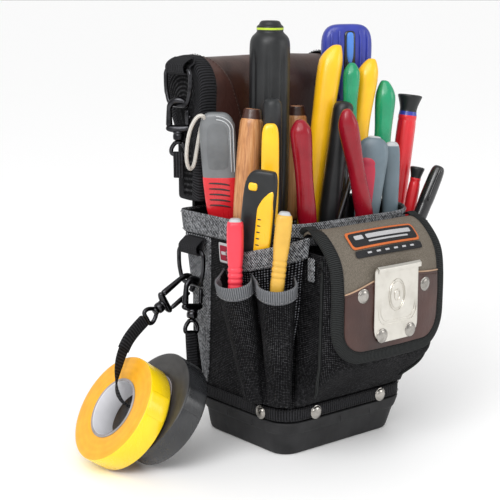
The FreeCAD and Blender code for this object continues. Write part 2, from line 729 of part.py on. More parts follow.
def flat_tool(top, low, half_width, half_thick, across, tip_z, tang=3.0):
    """Flat handle with a rounded top, its width along the across direction."""
    top = V(*top)
    low = V(*low)
    way = (top - low).normalize()
    side = V(across[0], across[1], 0)
    side = (side - way * side.dot(way)).normalize()
    depth = way.cross(side)
    foot = low - way * GRIP_HIDDEN
    height = (top - foot).Length
    shoulder = height - half_width
    corner = foot - side * half_width - depth * half_thick
    matrix = FreeCAD.Matrix(
        side.x, depth.x, way.x, corner.x,
        side.y, depth.y, way.y, corner.y,
        side.z, depth.z, way.z, corner.z,
        0, 0, 0, 1)
    slab = Part.makeBox(2 * half_width, 2 * half_thick, shoulder)
    cap = Part.makeCylinder(half_width, 2 * half_thick, V(half_width, 0, shoulder), V(0, 1, 0))
    shape = slab.fuse(cap).removeSplitter()
    shape.Placement = FreeCAD.Placement(matrix)
    end = low + way * ((tip_z - low.z) / way.z)
    shaft = Part.makeCylinder(tang, (foot - end).Length + 1, end, way)
    return shape.fuse(shaft).removeSplitter()


def pliers(handles, pivot, tip):
    """Closed pair of pliers standing on its nose: two grips, their shanks, pivot boss and nose."""
    pieces = []
    for top, low, radius in handles:
        way = (V(*top) - V(*low)).normalize()
        foot = V(*low) - way * GRIP_HIDDEN
        pieces.append(grip(V(*top), V(*low), radius))
        pieces.append(rod(tuple(foot + way * 5.0), pivot, PLIERS_SHANK_R))
    pieces.append(Part.makeCylinder(7.0, 7.0, V(*pivot) - V(0, 3.5, 0), V(0, 1, 0)))
    pieces.append(rod(tip, pivot, 2.6, 5.0))
    return fuse(pieces)


# Tools: top of the handle, its lower visible end, radius or half sizes, and where the tip ends
VIEW_ACROSS = (0.772, -0.636)
ROUND_TOOLS = {
    "tool_fluted_driver": ((-28.4, 2.0, 313.0), (-28.0, 4.0, 186.0), 15.0, 60.0, 5.0),
    "tool_black_grip_left": ((-48.4, -24.0, 259.5), (-47.2, -24.0, 199.0), 6.9, 60.0, 2.4),
    "tool_black_grip_right": ((20.7, -25.0, 254.0), (13.2, -25.0, 186.0), 7.4, 60.0, 2.4),
    "tool_wood_chisel_left": ((-53.0, -8.0, 251.5), (-60.2, -8.6, 191.0), 8.8, 140.0, 3.0),
    "tool_wood_chisel_right": ((7.0, 12.0, 248.0), (4.6, 12.0, 193.0), 8.4, 60.0, 3.0),
    "tool_capped_driver": ((97.0, -20.0, 255.0), (86.2, -18.6, 176.0), 7.0, 104.0, 2.4),
    "tool_small_red_driver": ((91.5, -35.0, 200.0), (85.2, -32.6, 163.0), 4.9, 112.0, 2.0),
    "tool_marker": ((100.0, -50.0, 201.5), (82.4, -45.0, 160.0), 5.4, 132.0, 2.4),
    "tool_slim_red": ((-95.2, -40.0, 180.6), (-95.2, -40.0, 133.0), 6.0, 108.0, 2.4),
    "tool_slim_yellow": ((-75.6, -69.6, 187.0), (-75.6, -69.6, 139.0), 5.8, 108.0, 2.4),
}
FLAT_TOOLS = {
    "tool_blue_stripper": ((50.6, 4.6, 309.5), (51.4, 5.0, 250.0), 20.4, 7.6, (0.92, -0.39), 60.0, 3.0),
    "tool_inset_driver": ((42.4, -36.0, 227.5), (37.2, -36.0, 186.0), 10.4, 6.6, VIEW_ACROSS, 60.0, 2.4),
    "tool_grey_slab": ((59.8, -37.4, 222.0), (60.0, -36.6, 186.0), 6.2, 4.0, VIEW_ACROSS, 140.0, 2.4),
    "tool_folding_saw": ((-71.6, 8.0, 248.5), (-62.6, 15.4, 186.0), 11.4, 4.8, (0.7, -0.714), 110.0, 3.0),
    "tool_flat_yellow": ((-60.2, -36.0, 243.2), (-60.6, -36.0, 190.0), 6.3, 3.8, VIEW_ACROSS, 126.0, 2.4),
    "tool_utility_knife": ((-78.4, -48.8, 213.5), (-78.0, -41.2, 160.0), 10.4, 4.0, (0.5, -0.866), 124.0, 2.4),
}
# Pliers: two handles as top, lower visible end and radius, then the pivot and the nose tip
PLIERS = {
    "tool_yellow_pliers": ([((26.6, -6.0, 293.0), (10.4, -6.0, 205.0), 7.6),
                            ((56.9, -14.8, 282.0), (47.4, -14.6, 227.0), 7.4)],
                           (15.0, -9.0, 122.0), (2.0, -6.0, 60.0)),
    "tool_green_pliers": ([((35.4, -16.0, 280.4), (33.6, -16.4, 250.0), 6.4),
                           ((70.3, -20.0, 265.0), (66.6, -20.0, 216.0), 8.4)],
                          (46.0, -27.0, 122.0), (44.0, -21.0, 60.0)),
    "tool_red_pliers": ([((-36.3, -40.0, 243.7), (-32.7, -40.0, 186.0), 7.4),
                         ((-0.1, -48.0, 248.5), (18.0, -47.4, 186.0), 7.0)],
                        (-6.0, -38.0, 112.0), (-5.0, -34.0, 60.0)),
}
SLIM_RED_CENTRE = (-97.3, -40.7)
SLIM_RED_FOOT = (-72.0, -33.0)
SLIM_YELLOW_CENTRE = (-76.8, -71.1)
SLIM_YELLOW_FOOT = (-62.0, -52.5)


def tools():
    """All the tools that stand in the pouch."""
    made = {}
    for name, (top, low, radius, tip, tang) in ROUND_TOOLS.items():
        made[name] = round_tool(top, low, radius, tip, tang)
    for name, (top, low, half, thick, across, tip, tang) in FLAT_TOOLS.items():
        made[name] = flat_tool(top, low, half, thick, across, tip, tang)
    for name, (handles, pivot, tip) in PLIERS.items():
        made[name] = pliers(handles, pivot, tip)
    return made


def build():
    """Every sub-part by name."""
    strap, radii, length = smooth_tube([V(*p) for p in STRAP_ROUTE], STRAP_R)
    print("strap length %.1f mm, arc radii %s" % (length, [round(r, 1) for r in radii]))
    print("strap volume %.0f, section x length %.0f" % (strap.Volume, math.pi * STRAP_R ** 2 * length))
    parts = {
        "base_tray": base_tray(),
        "base_band": base_band(),
        "body_rivets": Part.makeCompound([base_rivets(), belt_clip_rivets()]),
        "body_shell": body_shell(),
        "rim_band": rim_band(),
        "corner_webbing_left": corner_strip(-1),
        "corner_webbing_right": corner_strip(1),
        "side_pocket_left": side_pocket(-1, POCKET_BULGE_LEFT, POCKET_BACK_Y),
        "side_pocket_left_band": side_pocket_band(-1, POCKET_BULGE_LEFT, POCKET_BACK_Y),
        "side_pocket_right": side_pocket(1, POCKET_BULGE_RIGHT, POCKET_BACK_Y_RIGHT),
        "side_pocket_right_band": side_pocket_band(1, POCKET_BULGE_RIGHT, POCKET_BACK_Y_RIGHT),
        "slim_pocket_rear": slim_pocket(SLIM_RED_CENTRE, SLIM_RED_FOOT),
        "slim_pocket_front": slim_pocket(SLIM_YELLOW_CENTRE, SLIM_YELLOW_FOOT),
        "front_pocket": front_pocket(),
        "flap": flap(),
        "flap_binding": flap_binding(),
        "flap_leather": flap_leather(),
        "clip_plate": clip_plate(),
        "flap_rivets": flap_rivets(),
        "back_panel": back_panel(),
        "handle_roll": handle_roll(),
        "handle_end_left": handle_end(-1),
        "handle_end_right": handle_end(1),
        "belt_clip": belt_clip(),
        "handle_ring_loop": ring_loop(HANDLE_RING, HANDLE_RING[2] + 9.0, -ROLL_HALF - ROLL_END_THICK - 0.1),
        "handle_ring": d_ring(HANDLE_RING),
        "handle_hook": hook_body(HANDLE_HOOK, HOOK_LEG_SHORT),
        "handle_hook_gate": hook_gate(HANDLE_HOOK, HOOK_LEG_SHORT),
        "handle_hook_eye": hook_eye(HANDLE_HOOK, HOOK_LEG_SHORT),
        "handle_hook_tab": webbing_tab(HANDLE_HOOK, HOOK_LEG_SHORT),
        "rim_ring_loop": ring_loop(RIM_RING, RIM_BAND_LOW - 1.2, -75.4),
        "rim_ring": d_ring(RIM_RING),
        "strap_hook_front": hook_body(HOOK_A, HOOK_LEG_LONG),
        "strap_hook_front_gate": hook_gate(HOOK_A, HOOK_LEG_LONG),
        "strap_hook_front_eye": hook_eye(HOOK_A, HOOK_LEG_LONG),
        "strap_hook_rear": hook_body(HOOK_B, HOOK_LEG_SHORT),
        "strap_hook_rear_gate": hook_gate(HOOK_B, HOOK_LEG_SHORT),
        "strap_hook_rear_eye": hook_eye(HOOK_B, HOOK_LEG_SHORT),
        "tape_strap": strap,
        "tape_yellow": tape_roll(YELLOW_FACE, YELLOW_NORMAL, TAPE_BORE, TAPE_R),
        "tape_black": tape_roll(BLACK_FACE, BLACK_NORMAL, TAPE_BORE, TAPE_R),
    }
    parts.update(tools())
    return parts


os.makedirs("parts", exist_ok=True)
for part_name, part_shape in build().items():
    save(part_shape, part_name)
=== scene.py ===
import math

import bpy
from mathutils import Matrix, Vector, noise


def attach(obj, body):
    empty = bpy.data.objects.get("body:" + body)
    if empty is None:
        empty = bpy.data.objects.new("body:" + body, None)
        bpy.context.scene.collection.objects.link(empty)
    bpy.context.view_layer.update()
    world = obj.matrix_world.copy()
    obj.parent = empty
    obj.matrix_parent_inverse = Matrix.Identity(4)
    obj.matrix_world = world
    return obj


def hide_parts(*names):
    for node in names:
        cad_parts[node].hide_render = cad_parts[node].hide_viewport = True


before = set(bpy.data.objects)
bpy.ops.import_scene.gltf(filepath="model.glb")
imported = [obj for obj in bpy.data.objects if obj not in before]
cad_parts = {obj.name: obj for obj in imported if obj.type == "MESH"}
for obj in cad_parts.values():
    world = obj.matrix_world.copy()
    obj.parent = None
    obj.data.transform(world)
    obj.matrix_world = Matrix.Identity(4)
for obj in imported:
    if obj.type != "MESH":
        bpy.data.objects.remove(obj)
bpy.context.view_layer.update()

# Electrician's tool pouch. Sizes in this file are millimetres, in the frame of the CAD model,
# and every mesh is written in metres.
MM = 0.001

# Pouch plan at its levels: z, half width, front y, back y, front radius, back radius
BODY_FOOT = (3.4, 53.5, -44.5, 44.5, 11.0, 11.0)
BODY_WAIST = (27.0, 60.6, -52.6, 46.6, 15.0, 15.0)
BODY_COLLAR = (28.0, 62.0, -54.0, 49.0, 17.0, 16.0)
BODY_RIM = (173.0, 75.0, -59.0, 51.5, 39.0, 6.0)
BODY_WALL = 2.4
BAND_LOW = 28.0
BAND_TOP = 38.0
RIM_BAND_LOW = 157.0
RIM_TOP = 174.0
# Side pockets
POCKET_LOW = 40.0
POCKET_TOP = 150.0
POCKET_BAND = 15.0
POCKET_FRONT_X = 56.0
POCKET_RISE_REAR = 6.0
POCKET_RISE_FRONT = 17.0
BULGE_LOW = 2.6
BULGE_LEFT = 17.0
BULGE_RIGHT = 18.0
POCKET_BACK_LEFT = -24.0
POCKET_BACK_RIGHT = 12.0
# Slim pockets: centre at the top, foot, and the highest and lowest of the dipped rim
SLIM_REAR = ((-97.3, -40.7), (-72.0, -33.0))
SLIM_FRONT = ((-81.0, -67.6), (-63.6, -51.2))
SLIM_LOW = 42.0
SLIM_TOP = 137.0
SLIM_HALF = 13.6
SLIM_DEPTH = 10.8
SLIM_BAND = 10.5
# Front pocket and flap
FRONT_HALF = 54.0
FRONT_LOW = 41.0
FRONT_TOP = 156.0
FRONT_OUT = -92.0
FLAP_LINE = [(-63.9, 165.0), (-69.0, 171.0), (-77.5, 172.4), (-88.4, 165.8), (-98.6, 153.0), (-102.0, 134.0),
             (-102.0, 103.0), (-102.0, 72.0)]
FLAP_HALF = 57.8
FLAP_DRAW = 0.94
FLAP_SHIFT = -1.2
FLAP_BOTTOM = 79.5
FLAP_CORNER = 26.0
FLAP_CROWN = 4.0
FLAP_THICK = 3.0
BINDING = 8.5
LEATHER_MID = 136.0
PLATE_HALF = 23.0
PLATE_LOW = 92.0
PLATE_HIGH = 146.0
PLATE_CORNER = 14.0
PLATE_BACK = -103.4
# Handle roll
ROLL_HALF = 72.0
ROLL_Y = 48.0
ROLL_Z = 264.0
ROLL_R = 22.5
# Rings and hooks
RING_DROP = 26.0
HANDLE_RING = (-82.4, 42.0, 278.0)
RIM_RING = (-81.0, 30.0, 146.5)
HOOK_R = 7.0
HOOK_REACH = 3.3
HANDLE_HOOK_LEG = 12.0
FRONT_HOOK_LEG = 20.0
REAR_HOOK_LEG = 12.0
# Tape
TAPE_R = 40.0
TAPE_BORE = 20.6
TAPE_WIDTH = 19.0
YELLOW_FACE = (-160.4, 18.6, 43.6)
YELLOW_NORMAL = (-0.809, 0.085, 0.581)
BLACK_FACE = (-134.6, 9.5, 43.9)
BLACK_NORMAL = (-0.802, 0.102, 0.589)
STRAP_WIDTH = 9.0
STRAP_THICK = 1.5
STRAP_ROUTE = [
    (-124.2, 33.2, 96.2),
    (-135.2, 31.0, 90.2),
    (-145.0, 27.6, 80.4),
    (-152.2, 24.0, 67.6),
    (-156.0, 20.4, 53.8),
    (-150.6, 16.6, 42.4),
    (-137.4, 12.4, 38.8),
    (-123.8, 8.6, 36.4),
    (-110.6, 8.2, 31.4),
    (-99.4, 11.0, 34.2),
    (-91.8, 15.2, 45.0),
    (-88.6, 19.0, 58.4),
    (-87.4, 21.6, 70.6),
    (-87.0, 22.9, 82.0),
]
SAW_CORD_WIDE = 2.8
SAW_CORD_ROUTE = [
    (-79.2, 14.4, 243.4),
    (-81.2, 12.6, 246.5),
    (-85.6, 14.6, 246.5),
    (-89.0, 18.4, 238.0),
    (-90.4, 21.0, 226.0),
    (-90.0, 22.6, 214.0),
    (-86.5, 23.8, 206.5),
    (-82.0, 24.2, 208.5),
    (-80.2, 23.4, 219.0),
    (-79.0, 21.6, 231.0),
    (-78.6, 18.6, 240.0),
    (-78.8, 16.0, 242.6),
]


# ---------------------------------------------------------------- small geometry

def vec(point):
    """Point in millimetres as a vector."""
    return Vector(point)


def lerp(a, b, share):
    """Value between a and b."""
    return a + (b - a) * share


def smooth(share):
    """Eased 0 to 1."""
    share = min(max(share, 0.0), 1.0)
    return share * share * (3 - 2 * share)


def lengths(points, closed=False):
    """Distances along a line of points, from 0."""
    total = [0.0]
    ends = points[1:] + (points[:1] if closed else [])
    for a, b in zip(points, ends):
        total.append(total[-1] + (b - a).length)
    return total


def resample(points, count, closed=False):
    """The same line with count evenly spaced points."""
    at = lengths(points, closed)
    loop = points + (points[:1] if closed else [])
    steps = count if closed else count - 1
    made = []
    index = 0
    for step in range(count):
        want = at[-1] * step / steps
        while index < len(at) - 2 and at[index + 1] < want:
            index += 1
        gap = max(at[index + 1] - at[index], 1e-9)
        made.append(loop[index].lerp(loop[index + 1], (want - at[index]) / gap))
    return made


def curve_through(points, steps=8, closed=False):
    """Catmull-Rom line through the points."""
    count = len(points)
    made = []
    spans = count if closed else count - 1
    for index in range(spans):
        if closed:
            p = [points[(index + k) % count] for k in (-1, 0, 1, 2)]
        else:
            p = [points[max(index - 1, 0)], points[index], points[index + 1],
                 points[min(index + 2, count - 1)]]
        for step in range(steps):
            t = step / steps
            made.append(0.5 * ((2 * p[1]) + (p[2] - p[0]) * t
                               + (2 * p[0] - 5 * p[1] + 4 * p[2] - p[3]) * t * t
                               + (3 * p[1] - p[0] - 3 * p[2] + p[3]) * t ** 3))
    if not closed:
        made.append(points[-1])
    return made


def wander(point, size, amount, seed=0.0):
    """Smooth random number at a point, for folds and unevenness."""
    return noise.noise(Vector(point) / size + Vector((seed, seed * 1.7, -seed))) * amount


# ---------------------------------------------------------------- mesh builders

def settle(obj, body, materials, hides=()):
    """Gives a piece its materials and its body."""
    for material in materials:
        obj.data.materials.append(material)
    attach(obj, body)
    if hides:
        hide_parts(*hides)
    return obj


def mesh_piece(name, verts, faces, coords=None, slots=None):
    """Object from millimetre points, with an optional UV map in millimetres."""
    mesh = bpy.data.meshes.new(name)
    mesh.from_pydata([tuple(Vector(v) * MM) for v in verts], [], faces)
    if coords:
        layer = mesh.uv_layers.new(name="cloth")
        layer.data.foreach_set("uv", [value for pair in coords for value in pair])
    for polygon in mesh.polygons:
        polygon.use_smooth = True
    if slots:
        mesh.polygons.foreach_set("material_index", slots)
    obj = bpy.data.objects.new(name, mesh)
    bpy.context.scene.collection.objects.link(obj)
    return obj


def skin(name, rows, around=False, thick=0.0, levels=1, slots=None, cap=False):
    """Surface through rows of points, its UV map in millimetres along and across the rows."""
    count = len(rows[0])
    verts = [p for row in rows for p in row]
    middle = rows[len(rows) // 2]
    along = lengths(middle, around)
    up = lengths([row[count // 3] for row in rows])
    span = count if around else count - 1
    faces = []
    coords = []
    indices = []
    for r in range(len(rows) - 1):
        for c in range(span):
            n = (c + 1) % count
            faces.append((r * count + c, r * count + n, (r + 1) * count + n, (r + 1) * count + c))
            coords += [(along[c], up[r]), (along[c + 1], up[r]),
                       (along[c + 1], up[r + 1]), (along[c], up[r + 1])]
            indices.append(slots[r] if slots else 0)
    if cap:
        for row, r in ((rows[0], 0), (rows[-1], len(rows) - 1)):
            centre = sum(row, Vector()) / count
            verts.append(centre)
            tip = len(verts) - 1
            for c in range(count):
                n = (c + 1) % count
                pair = (r * count + n, r * count + c, tip) if r == 0 else (r * count + c, r * count + n, tip)
                faces.append(pair)
                coords += [(along[c], up[r]), (along[c + 1], up[r]), (along[c], up[r])]
                indices.append(slots[min(r, len(slots) - 1)] if slots else 0)
    obj = mesh_piece(name, verts, faces, coords, indices)
    if thick:
        solid = obj.modifiers.new("thickness", "SOLIDIFY")
        solid.thickness = thick * MM
        solid.offset = -1.0
    if levels:
        smoothing = obj.modifiers.new("smooth", "SUBSURF")
        smoothing.levels = levels
        smoothing.render_levels = levels
    return obj


def oval_ring(centre, side, depth, a, b, count, power=2.0, flute=(0, 0.0)):
    """Ring of points: a superellipse of half sizes a and b, with optional flutes."""
    ring = []
    for index in range(count):
        angle = 2 * math.pi * index / count
        c = math.cos(angle)
        s = math.sin(angle)
        x = math.copysign(abs(c) ** (2 / power), c)
        y = math.copysign(abs(s) ** (2 / power), s)
        wave = 1.0
        if flute[0]:
            wave -= flute[1] * (0.5 + 0.5 * math.cos(angle * flute[0])) ** 5
        ring.append(centre + side * (a * x * wave) + depth * (b * y * wave))
    return ring


def frame_of(way, across):
    """Across and depth directions square to a way."""
    way = way.normalized()
    side = Vector(across)
    side = (side - way * side.dot(way)).normalized()
    return side, way.cross(side)


def limb(name, top, low, rings, across=(1, 0, 0), count=24, power=2.0, levels=2):
    """Handle along an axis. Rings are (distance from the top, half width, half depth, slot,
    shift across, shift in depth, flutes, flute depth), the last four optional."""
    top = vec(top)
    way = (vec(low) - top).normalized()
    side, depth = frame_of(way, across)
    rows = []
    slots = []
    for ring in rings:
        t, a, b, slot = ring[:4]
        shift = ring[4] if len(ring) > 4 else 0.0
        sink = ring[5] if len(ring) > 5 else 0.0
        flute = ring[6:8] if len(ring) > 7 else (0, 0.0)
        centre = top + way * t + side * shift + depth * sink
        rows.append(oval_ring(centre, side, depth, a, b, count, power, flute))
        slots.append(slot)
    return skin(name, rows, True, levels=levels, slots=slots, cap=True)


def tube(name, points, radius, count=12, levels=0, closed=False, flat=1.0, across=(0, 0, 1)):
    """Round or flattened bar along a line; radius may be a list, one for each point."""
    rows = []
    size = len(points)
    for index, point in enumerate(points):
        after = points[(index + 1) % size] if closed or index + 1 < size else point
        before = points[index - 1] if closed or index else point
        way = after - before
        side, depth = frame_of(way, across)
        r = radius[index] if isinstance(radius, list) else radius
        rows.append(oval_ring(point, side, depth, r, r * flat, count))
    if closed:
        rows.append([p.copy() for p in rows[0]])
    return skin(name, rows, True, levels=levels, cap=not closed)


def lathe(name, centre, axis, profile, count=64, slots=None, levels=0):
    """Turned piece: profile rows of (radius, distance along the axis)."""
    centre = vec(centre)
    way = vec(axis).normalized()
    side, depth = frame_of(way, (0.31, 0.95, 0.05))
    rows = []
    for radius, at in profile:
        rows.append(oval_ring(centre + way * at, side, depth, radius, radius, count))
    return skin(name, rows, True, levels=levels, slots=slots)


def stitches(name, lines, material, body, pitch=3.4, long=2.3, wide=0.36):
    """Rows of sewn thread: each line is a list of (point, outward normal)."""
    verts = []
    faces = []
    for line in lines:
        points = [p for p, _ in line]
        at = lengths(points)
        where = pitch / 2
        index = 0
        while where < at[-1]:
            while index < len(at) - 2 and at[index + 1] < where:
                index += 1
            share = (where - at[index]) / max(at[index + 1] - at[index], 1e-9)
            centre = points[index].lerp(points[index + 1], share)
            out = line[index][1].lerp(line[index + 1][1], share).normalized()
            way = (points[index + 1] - points[index]).normalized()
            side = way.cross(out).normalized()
            start = len(verts)
            for step, size in ((-0.5, 0.25), (-0.28, 1.0), (0.28, 1.0), (0.5, 0.25)):
                middle = centre + way * (step * long) + out * (0.18 * size)
                for turn in range(6):
                    angle = math.pi * turn / 3
                    verts.append(middle + side * (math.cos(angle) * wide * size)
                                 + out * (math.sin(angle) * wide * size * 0.8))
            for ring in range(3):
                for turn in range(6):
                    n = (turn + 1) % 6
                    a = start + ring * 6
                    faces.append((a + turn, a + n, a + 6 + n, a + 6 + turn))
            where += pitch
    obj = mesh_piece(name, verts, faces)
    return settle(obj, body, [material])


# ---------------------------------------------------------------- materials

class Look:
    """Node tree of one material, with short calls for its usual nodes."""

    def __init__(self, name, rough=0.5, metal=0.0, **sockets):
        """New node material with its shader's plain values."""
        self.material = bpy.data.materials.new(name)
        self.material.use_nodes = True
        self.tree = self.material.node_tree
        self.shader = self.tree.nodes["Principled BSDF"]
        self.shader.inputs["Roughness"].default_value = rough
        self.shader.inputs["Metallic"].default_value = metal
        for socket, value in sockets.items():
            self.shader.inputs[socket.replace("_", " ")].default_value = value

    def node(self, kind, inputs=None, **settings):
        """New node with its settings, inputs given as values or as outputs of other nodes."""
        made = self.tree.nodes.new(kind)
        for key, value in settings.items():
            setattr(made, key, value)
        for key, value in (inputs or {}).items():
            if isinstance(value, bpy.types.NodeSocket):
                self.tree.links.new(value, made.inputs[key])
            else:
                made.inputs[key].default_value = value
        return made

    def cloth(self, turn=0.0):
        """UV map in millimetres, turned by some degrees."""
        uv = self.node("ShaderNodeUVMap", uv_map="cloth").outputs[0]
        spin = self.node("ShaderNodeMapping", {"Vector": uv, "Rotation": (0, 0, math.radians(turn))})
        return self.node("ShaderNodeSeparateXYZ", {0: spin.outputs[0]})

    def place(self, scale=(1.0, 1.0, 1.0)):
        """Object coordinates in millimetres, stretched by scale."""
        coords = self.node("ShaderNodeTexCoord").outputs["Object"]
        stretch = tuple(s / MM for s in scale)
        return self.node("ShaderNodeMapping", {"Vector": coords, "Scale": stretch}).outputs[0]

    def math(self, operation, a, b=0.0, c=0.0):
        """Number from a maths node."""
        return self.node("ShaderNodeMath", {0: a, 1: b, 2: c}, operation=operation).outputs[0]

    def wave(self, value, pitch, shift=0.0):
        """Sine of a coordinate with its pitch in millimetres, from -1 to 1."""
        return self.math("SINE", self.math("MULTIPLY_ADD", value, 2 * math.pi / pitch, shift))

    def noise(self, place, size, detail=3.0, rough=0.5):
        """Noise with features of a size in millimetres, from 0 to 1."""
        return self.node("ShaderNodeTexNoise", {"Vector": place, "Scale": 1.0 / size, "Detail": detail,
                                                "Roughness": rough}).outputs["Fac"]

    def ramp(self, value, stops):
        """Colour ramp with stops of (position, colour)."""
        made = self.node("ShaderNodeValToRGB", {0: value})
        points = made.color_ramp.elements
        while len(points) < len(stops):
            points.new(0.5)
        for point, (at, colour) in zip(points, stops):
            point.position = at
            point.color = tuple(colour) + (1.0,)
        return made.outputs[0]

    def level(self, value, low, high):
        """Value from 0..1 to low..high."""
        return self.node("ShaderNodeMapRange", {0: value, 3: low, 4: high}).outputs[0]

    def paint(self, colour):
        """Base colour."""
        self.tree.links.new(colour, self.shader.inputs["Base Color"])

    def roughness(self, value):
        """Roughness from a node."""
        self.tree.links.new(value, self.shader.inputs["Roughness"])

    def bump(self, height, depth, strength=1.0, under=None):
        """Bump of a height map, its depth in millimetres."""
        inputs = {"Height": height, "Distance": depth * MM, "Strength": strength}
        if under is not None:
            inputs["Normal"] = under
        made = self.node("ShaderNodeBump", inputs)
        self.tree.links.new(made.outputs[0], self.shader.inputs["Normal"])
        return made.outputs[0]


def weave(name, dark, light, pitch, turn=0.0, depth=0.22, rough=0.85, speckle=0.5, cut=(0.4, 0.72),
          stretch=1.0, spec=0.15):
    """Plain weave of two yarn tones: over and under crossings in a checker, with uneven yarn. The colour also
    follows the crossing height, painted lighter on raised crossings and darker between them as highlight and
    shade, and on black cloth the light tone is painted glints.
    """
    look = Look(name, rough=rough, Specular_IOR_Level=spec)
    uv = look.cloth(turn)
    a = look.wave(uv.outputs[0], pitch * stretch)
    b = look.wave(uv.outputs[1], pitch)
    cross = look.math("MULTIPLY_ADD", look.math("MULTIPLY", a, b), 0.5, 0.5)
    yarn = look.noise(look.place(), pitch * 0.9, 2.0)
    broad = look.noise(look.place(), 28.0, 3.0)
    # Painted highlight and shade: the crossing height lightens the raised crossings and darkens the hollows
    # between them.
    mixed = look.math("MULTIPLY_ADD", yarn, speckle, look.math("MULTIPLY", cross, 1.0 - speckle))
    shade = look.math("MULTIPLY_ADD", broad, 0.16, look.math("ADD", mixed, -0.08))
    look.paint(look.ramp(shade, [(cut[0], dark), (cut[1], light)]))
    fold = look.bump(look.noise(look.place(), 9.0, 2.0), 0.25)
    look.bump(cross, depth, under=fold)
    return look.material


def ribbed(name, dark, light, pitch, depth=0.3, along=True, rough=0.8, speckle=0.35):
    """Ribbed webbing: ribs across its length, with fine warp yarns between them. The colour follows the rib
    height too, painted lighter on the crests and darker in the grooves as highlight and shade.
    """
    look = Look(name, rough=rough, Specular_IOR_Level=0.12)
    uv = look.cloth()
    rib = look.wave(uv.outputs[0 if along else 1], pitch)
    fine = look.wave(uv.outputs[1 if along else 0], pitch * 0.55)
    height = look.math("MULTIPLY_ADD", rib, 0.38, look.math("MULTIPLY_ADD", fine, 0.12, 0.5))
    yarn = look.noise(look.place(), pitch * 0.8, 2.0)
    # Painted highlight and shade: the rib height lightens the crests and darkens the grooves.
    shade = look.math("MULTIPLY_ADD", yarn, speckle, look.math("MULTIPLY", height, 1.0 - speckle))
    look.paint(look.ramp(shade, [(0.2, dark), (0.8, light)]))
    look.bump(height, depth)
    return look.material


def leather(name, dark, middle, light, redder):
    """Oiled leather: pebbled grain, broad colour change and a satin polish where it is rubbed."""
    look = Look(name, rough=0.42, Specular_IOR_Level=0.45, Coat_Weight=0.12, Coat_Roughness=0.35)
    place = look.place()
    broad = look.noise(place, 42.0, 4.0, 0.6)
    colour = look.ramp(broad, [(0.3, dark), (0.5, middle), (0.72, light)])
    patch = look.ramp(look.noise(place, 75.0, 1.0), [(0.42, (0, 0, 0)), (0.64, (1, 1, 1))])
    warm = look.node("ShaderNodeMix", {0: patch, 6: colour, 7: tuple(redder) + (1.0,)}, data_type="RGBA")
    look.paint(warm.outputs[2])
    cells = look.node("ShaderNodeTexVoronoi", {"Vector": place, "Scale": 1 / 1.3}, feature="SMOOTH_F1")
    creases = look.noise(look.place((1.0, 0.35, 0.35)), 6.0, 4.0, 0.6)
    look.roughness(look.level(look.noise(place, 11.0, 4.0), 0.3, 0.58))
    crease = look.bump(creases, 0.35)
    look.bump(cells.outputs["Distance"], 0.12, 0.8, crease)
    return look.material


def moulded(name, colour, rough=0.38, grain=0.8, depth=0.03, vary=0.12, coat=0.0, coord=6.0, spec=0.5):
    """Moulded plastic or dipped vinyl: faint flow marks, fine grain and scuffed highlights."""
    look = Look(name, rough=rough, Coat_Weight=coat, Coat_Roughness=0.12, Specular_IOR_Level=spec)
    place = look.place()
    low = tuple(c * (1 - vary) for c in colour)
    high = tuple(min(c * (1 + vary) + 0.004, 1.0) for c in colour)
    look.paint(look.ramp(look.noise(place, 14.0, 4.0), [(0.3, low), (0.7, high)]))
    scuff = look.noise(look.place((1.0, 1.0, 0.12)), coord, 5.0, 0.65)
    look.roughness(look.level(scuff, max(rough - 0.12, 0.05), rough + 0.16))
    look.bump(look.noise(place, grain, 3.0), depth)
    return look.material


def metal(name, colour, rough, brushed=(1.0, 1.0, 1.0), depth=0.01, wear_and_dark_reflection=None):
    """Metal with fine brushing or tumbling marks, and darker, rougher patches spread at random."""
    look = Look(name, rough=rough, metal=1.0)
    marks = look.noise(look.place(brushed), 0.9, 4.0, 0.7)
    broad = look.noise(look.place(), 9.0, 5.0, 0.6)
    dull = wear_and_dark_reflection or tuple(c * 0.72 for c in colour)
    look.paint(look.ramp(broad, [(0.32, dull), (0.55, colour)]))
    look.roughness(look.level(broad, rough + 0.1, max(rough - 0.06, 0.04)))
    look.bump(marks, depth)
    return look.material


def wood(name):
    """Varnished turned wood with long grain lines."""
    look = Look(name, rough=0.38, Coat_Weight=0.25, Coat_Roughness=0.2)
    grain = look.noise(look.place((1.0, 1.0, 0.045)), 1.6, 5.0, 0.65)
    broad = look.noise(look.place((1.0, 1.0, 0.12)), 7.0, 2.0)
    shade = look.math("MULTIPLY_ADD", grain, 0.65, look.math("MULTIPLY", broad, 0.35))
    look.paint(look.ramp(shade, [(0.34, (0.23, 0.085, 0.028)), (0.5, (0.5, 0.22, 0.08)),
                                 (0.68, (0.66, 0.36, 0.16))]))
    look.bump(grain, 0.06)
    return look.material


def tape_side(name, inner, outer, centre, axis):
    """Wound side of a tape roll: hundreds of turns as fine rings about the roll's axis."""
    look = Look(name, rough=0.36, Coat_Weight=0.1, Coat_Roughness=0.25)
    coords = look.node("ShaderNodeTexCoord").outputs["Object"]
    from_centre = look.node("ShaderNodeVectorMath", {0: coords, 1: tuple(vec(centre) * MM)},
                            operation="SUBTRACT").outputs[0]
    square = look.node("ShaderNodeVectorMath", {0: from_centre, 1: tuple(vec(axis).normalized())},
                       operation="CROSS_PRODUCT").outputs[0]
    radius = look.node("ShaderNodeVectorMath", {0: square}, operation="LENGTH").outputs[1]
    turns = look.wave(radius, 0.0009)
    wide = look.wave(radius, 0.0047)
    blot = look.noise(look.place(), 7.0, 3.0)
    shade = look.math("MULTIPLY_ADD", wide, 0.05, look.math("MULTIPLY_ADD", blot, 0.6, 0.2))
    look.paint(look.ramp(shade, [(0.3, inner), (0.7, outer)]))
    look.bump(look.math("MULTIPLY_ADD", turns, 0.5, 0.5), 0.05)
    return look.material
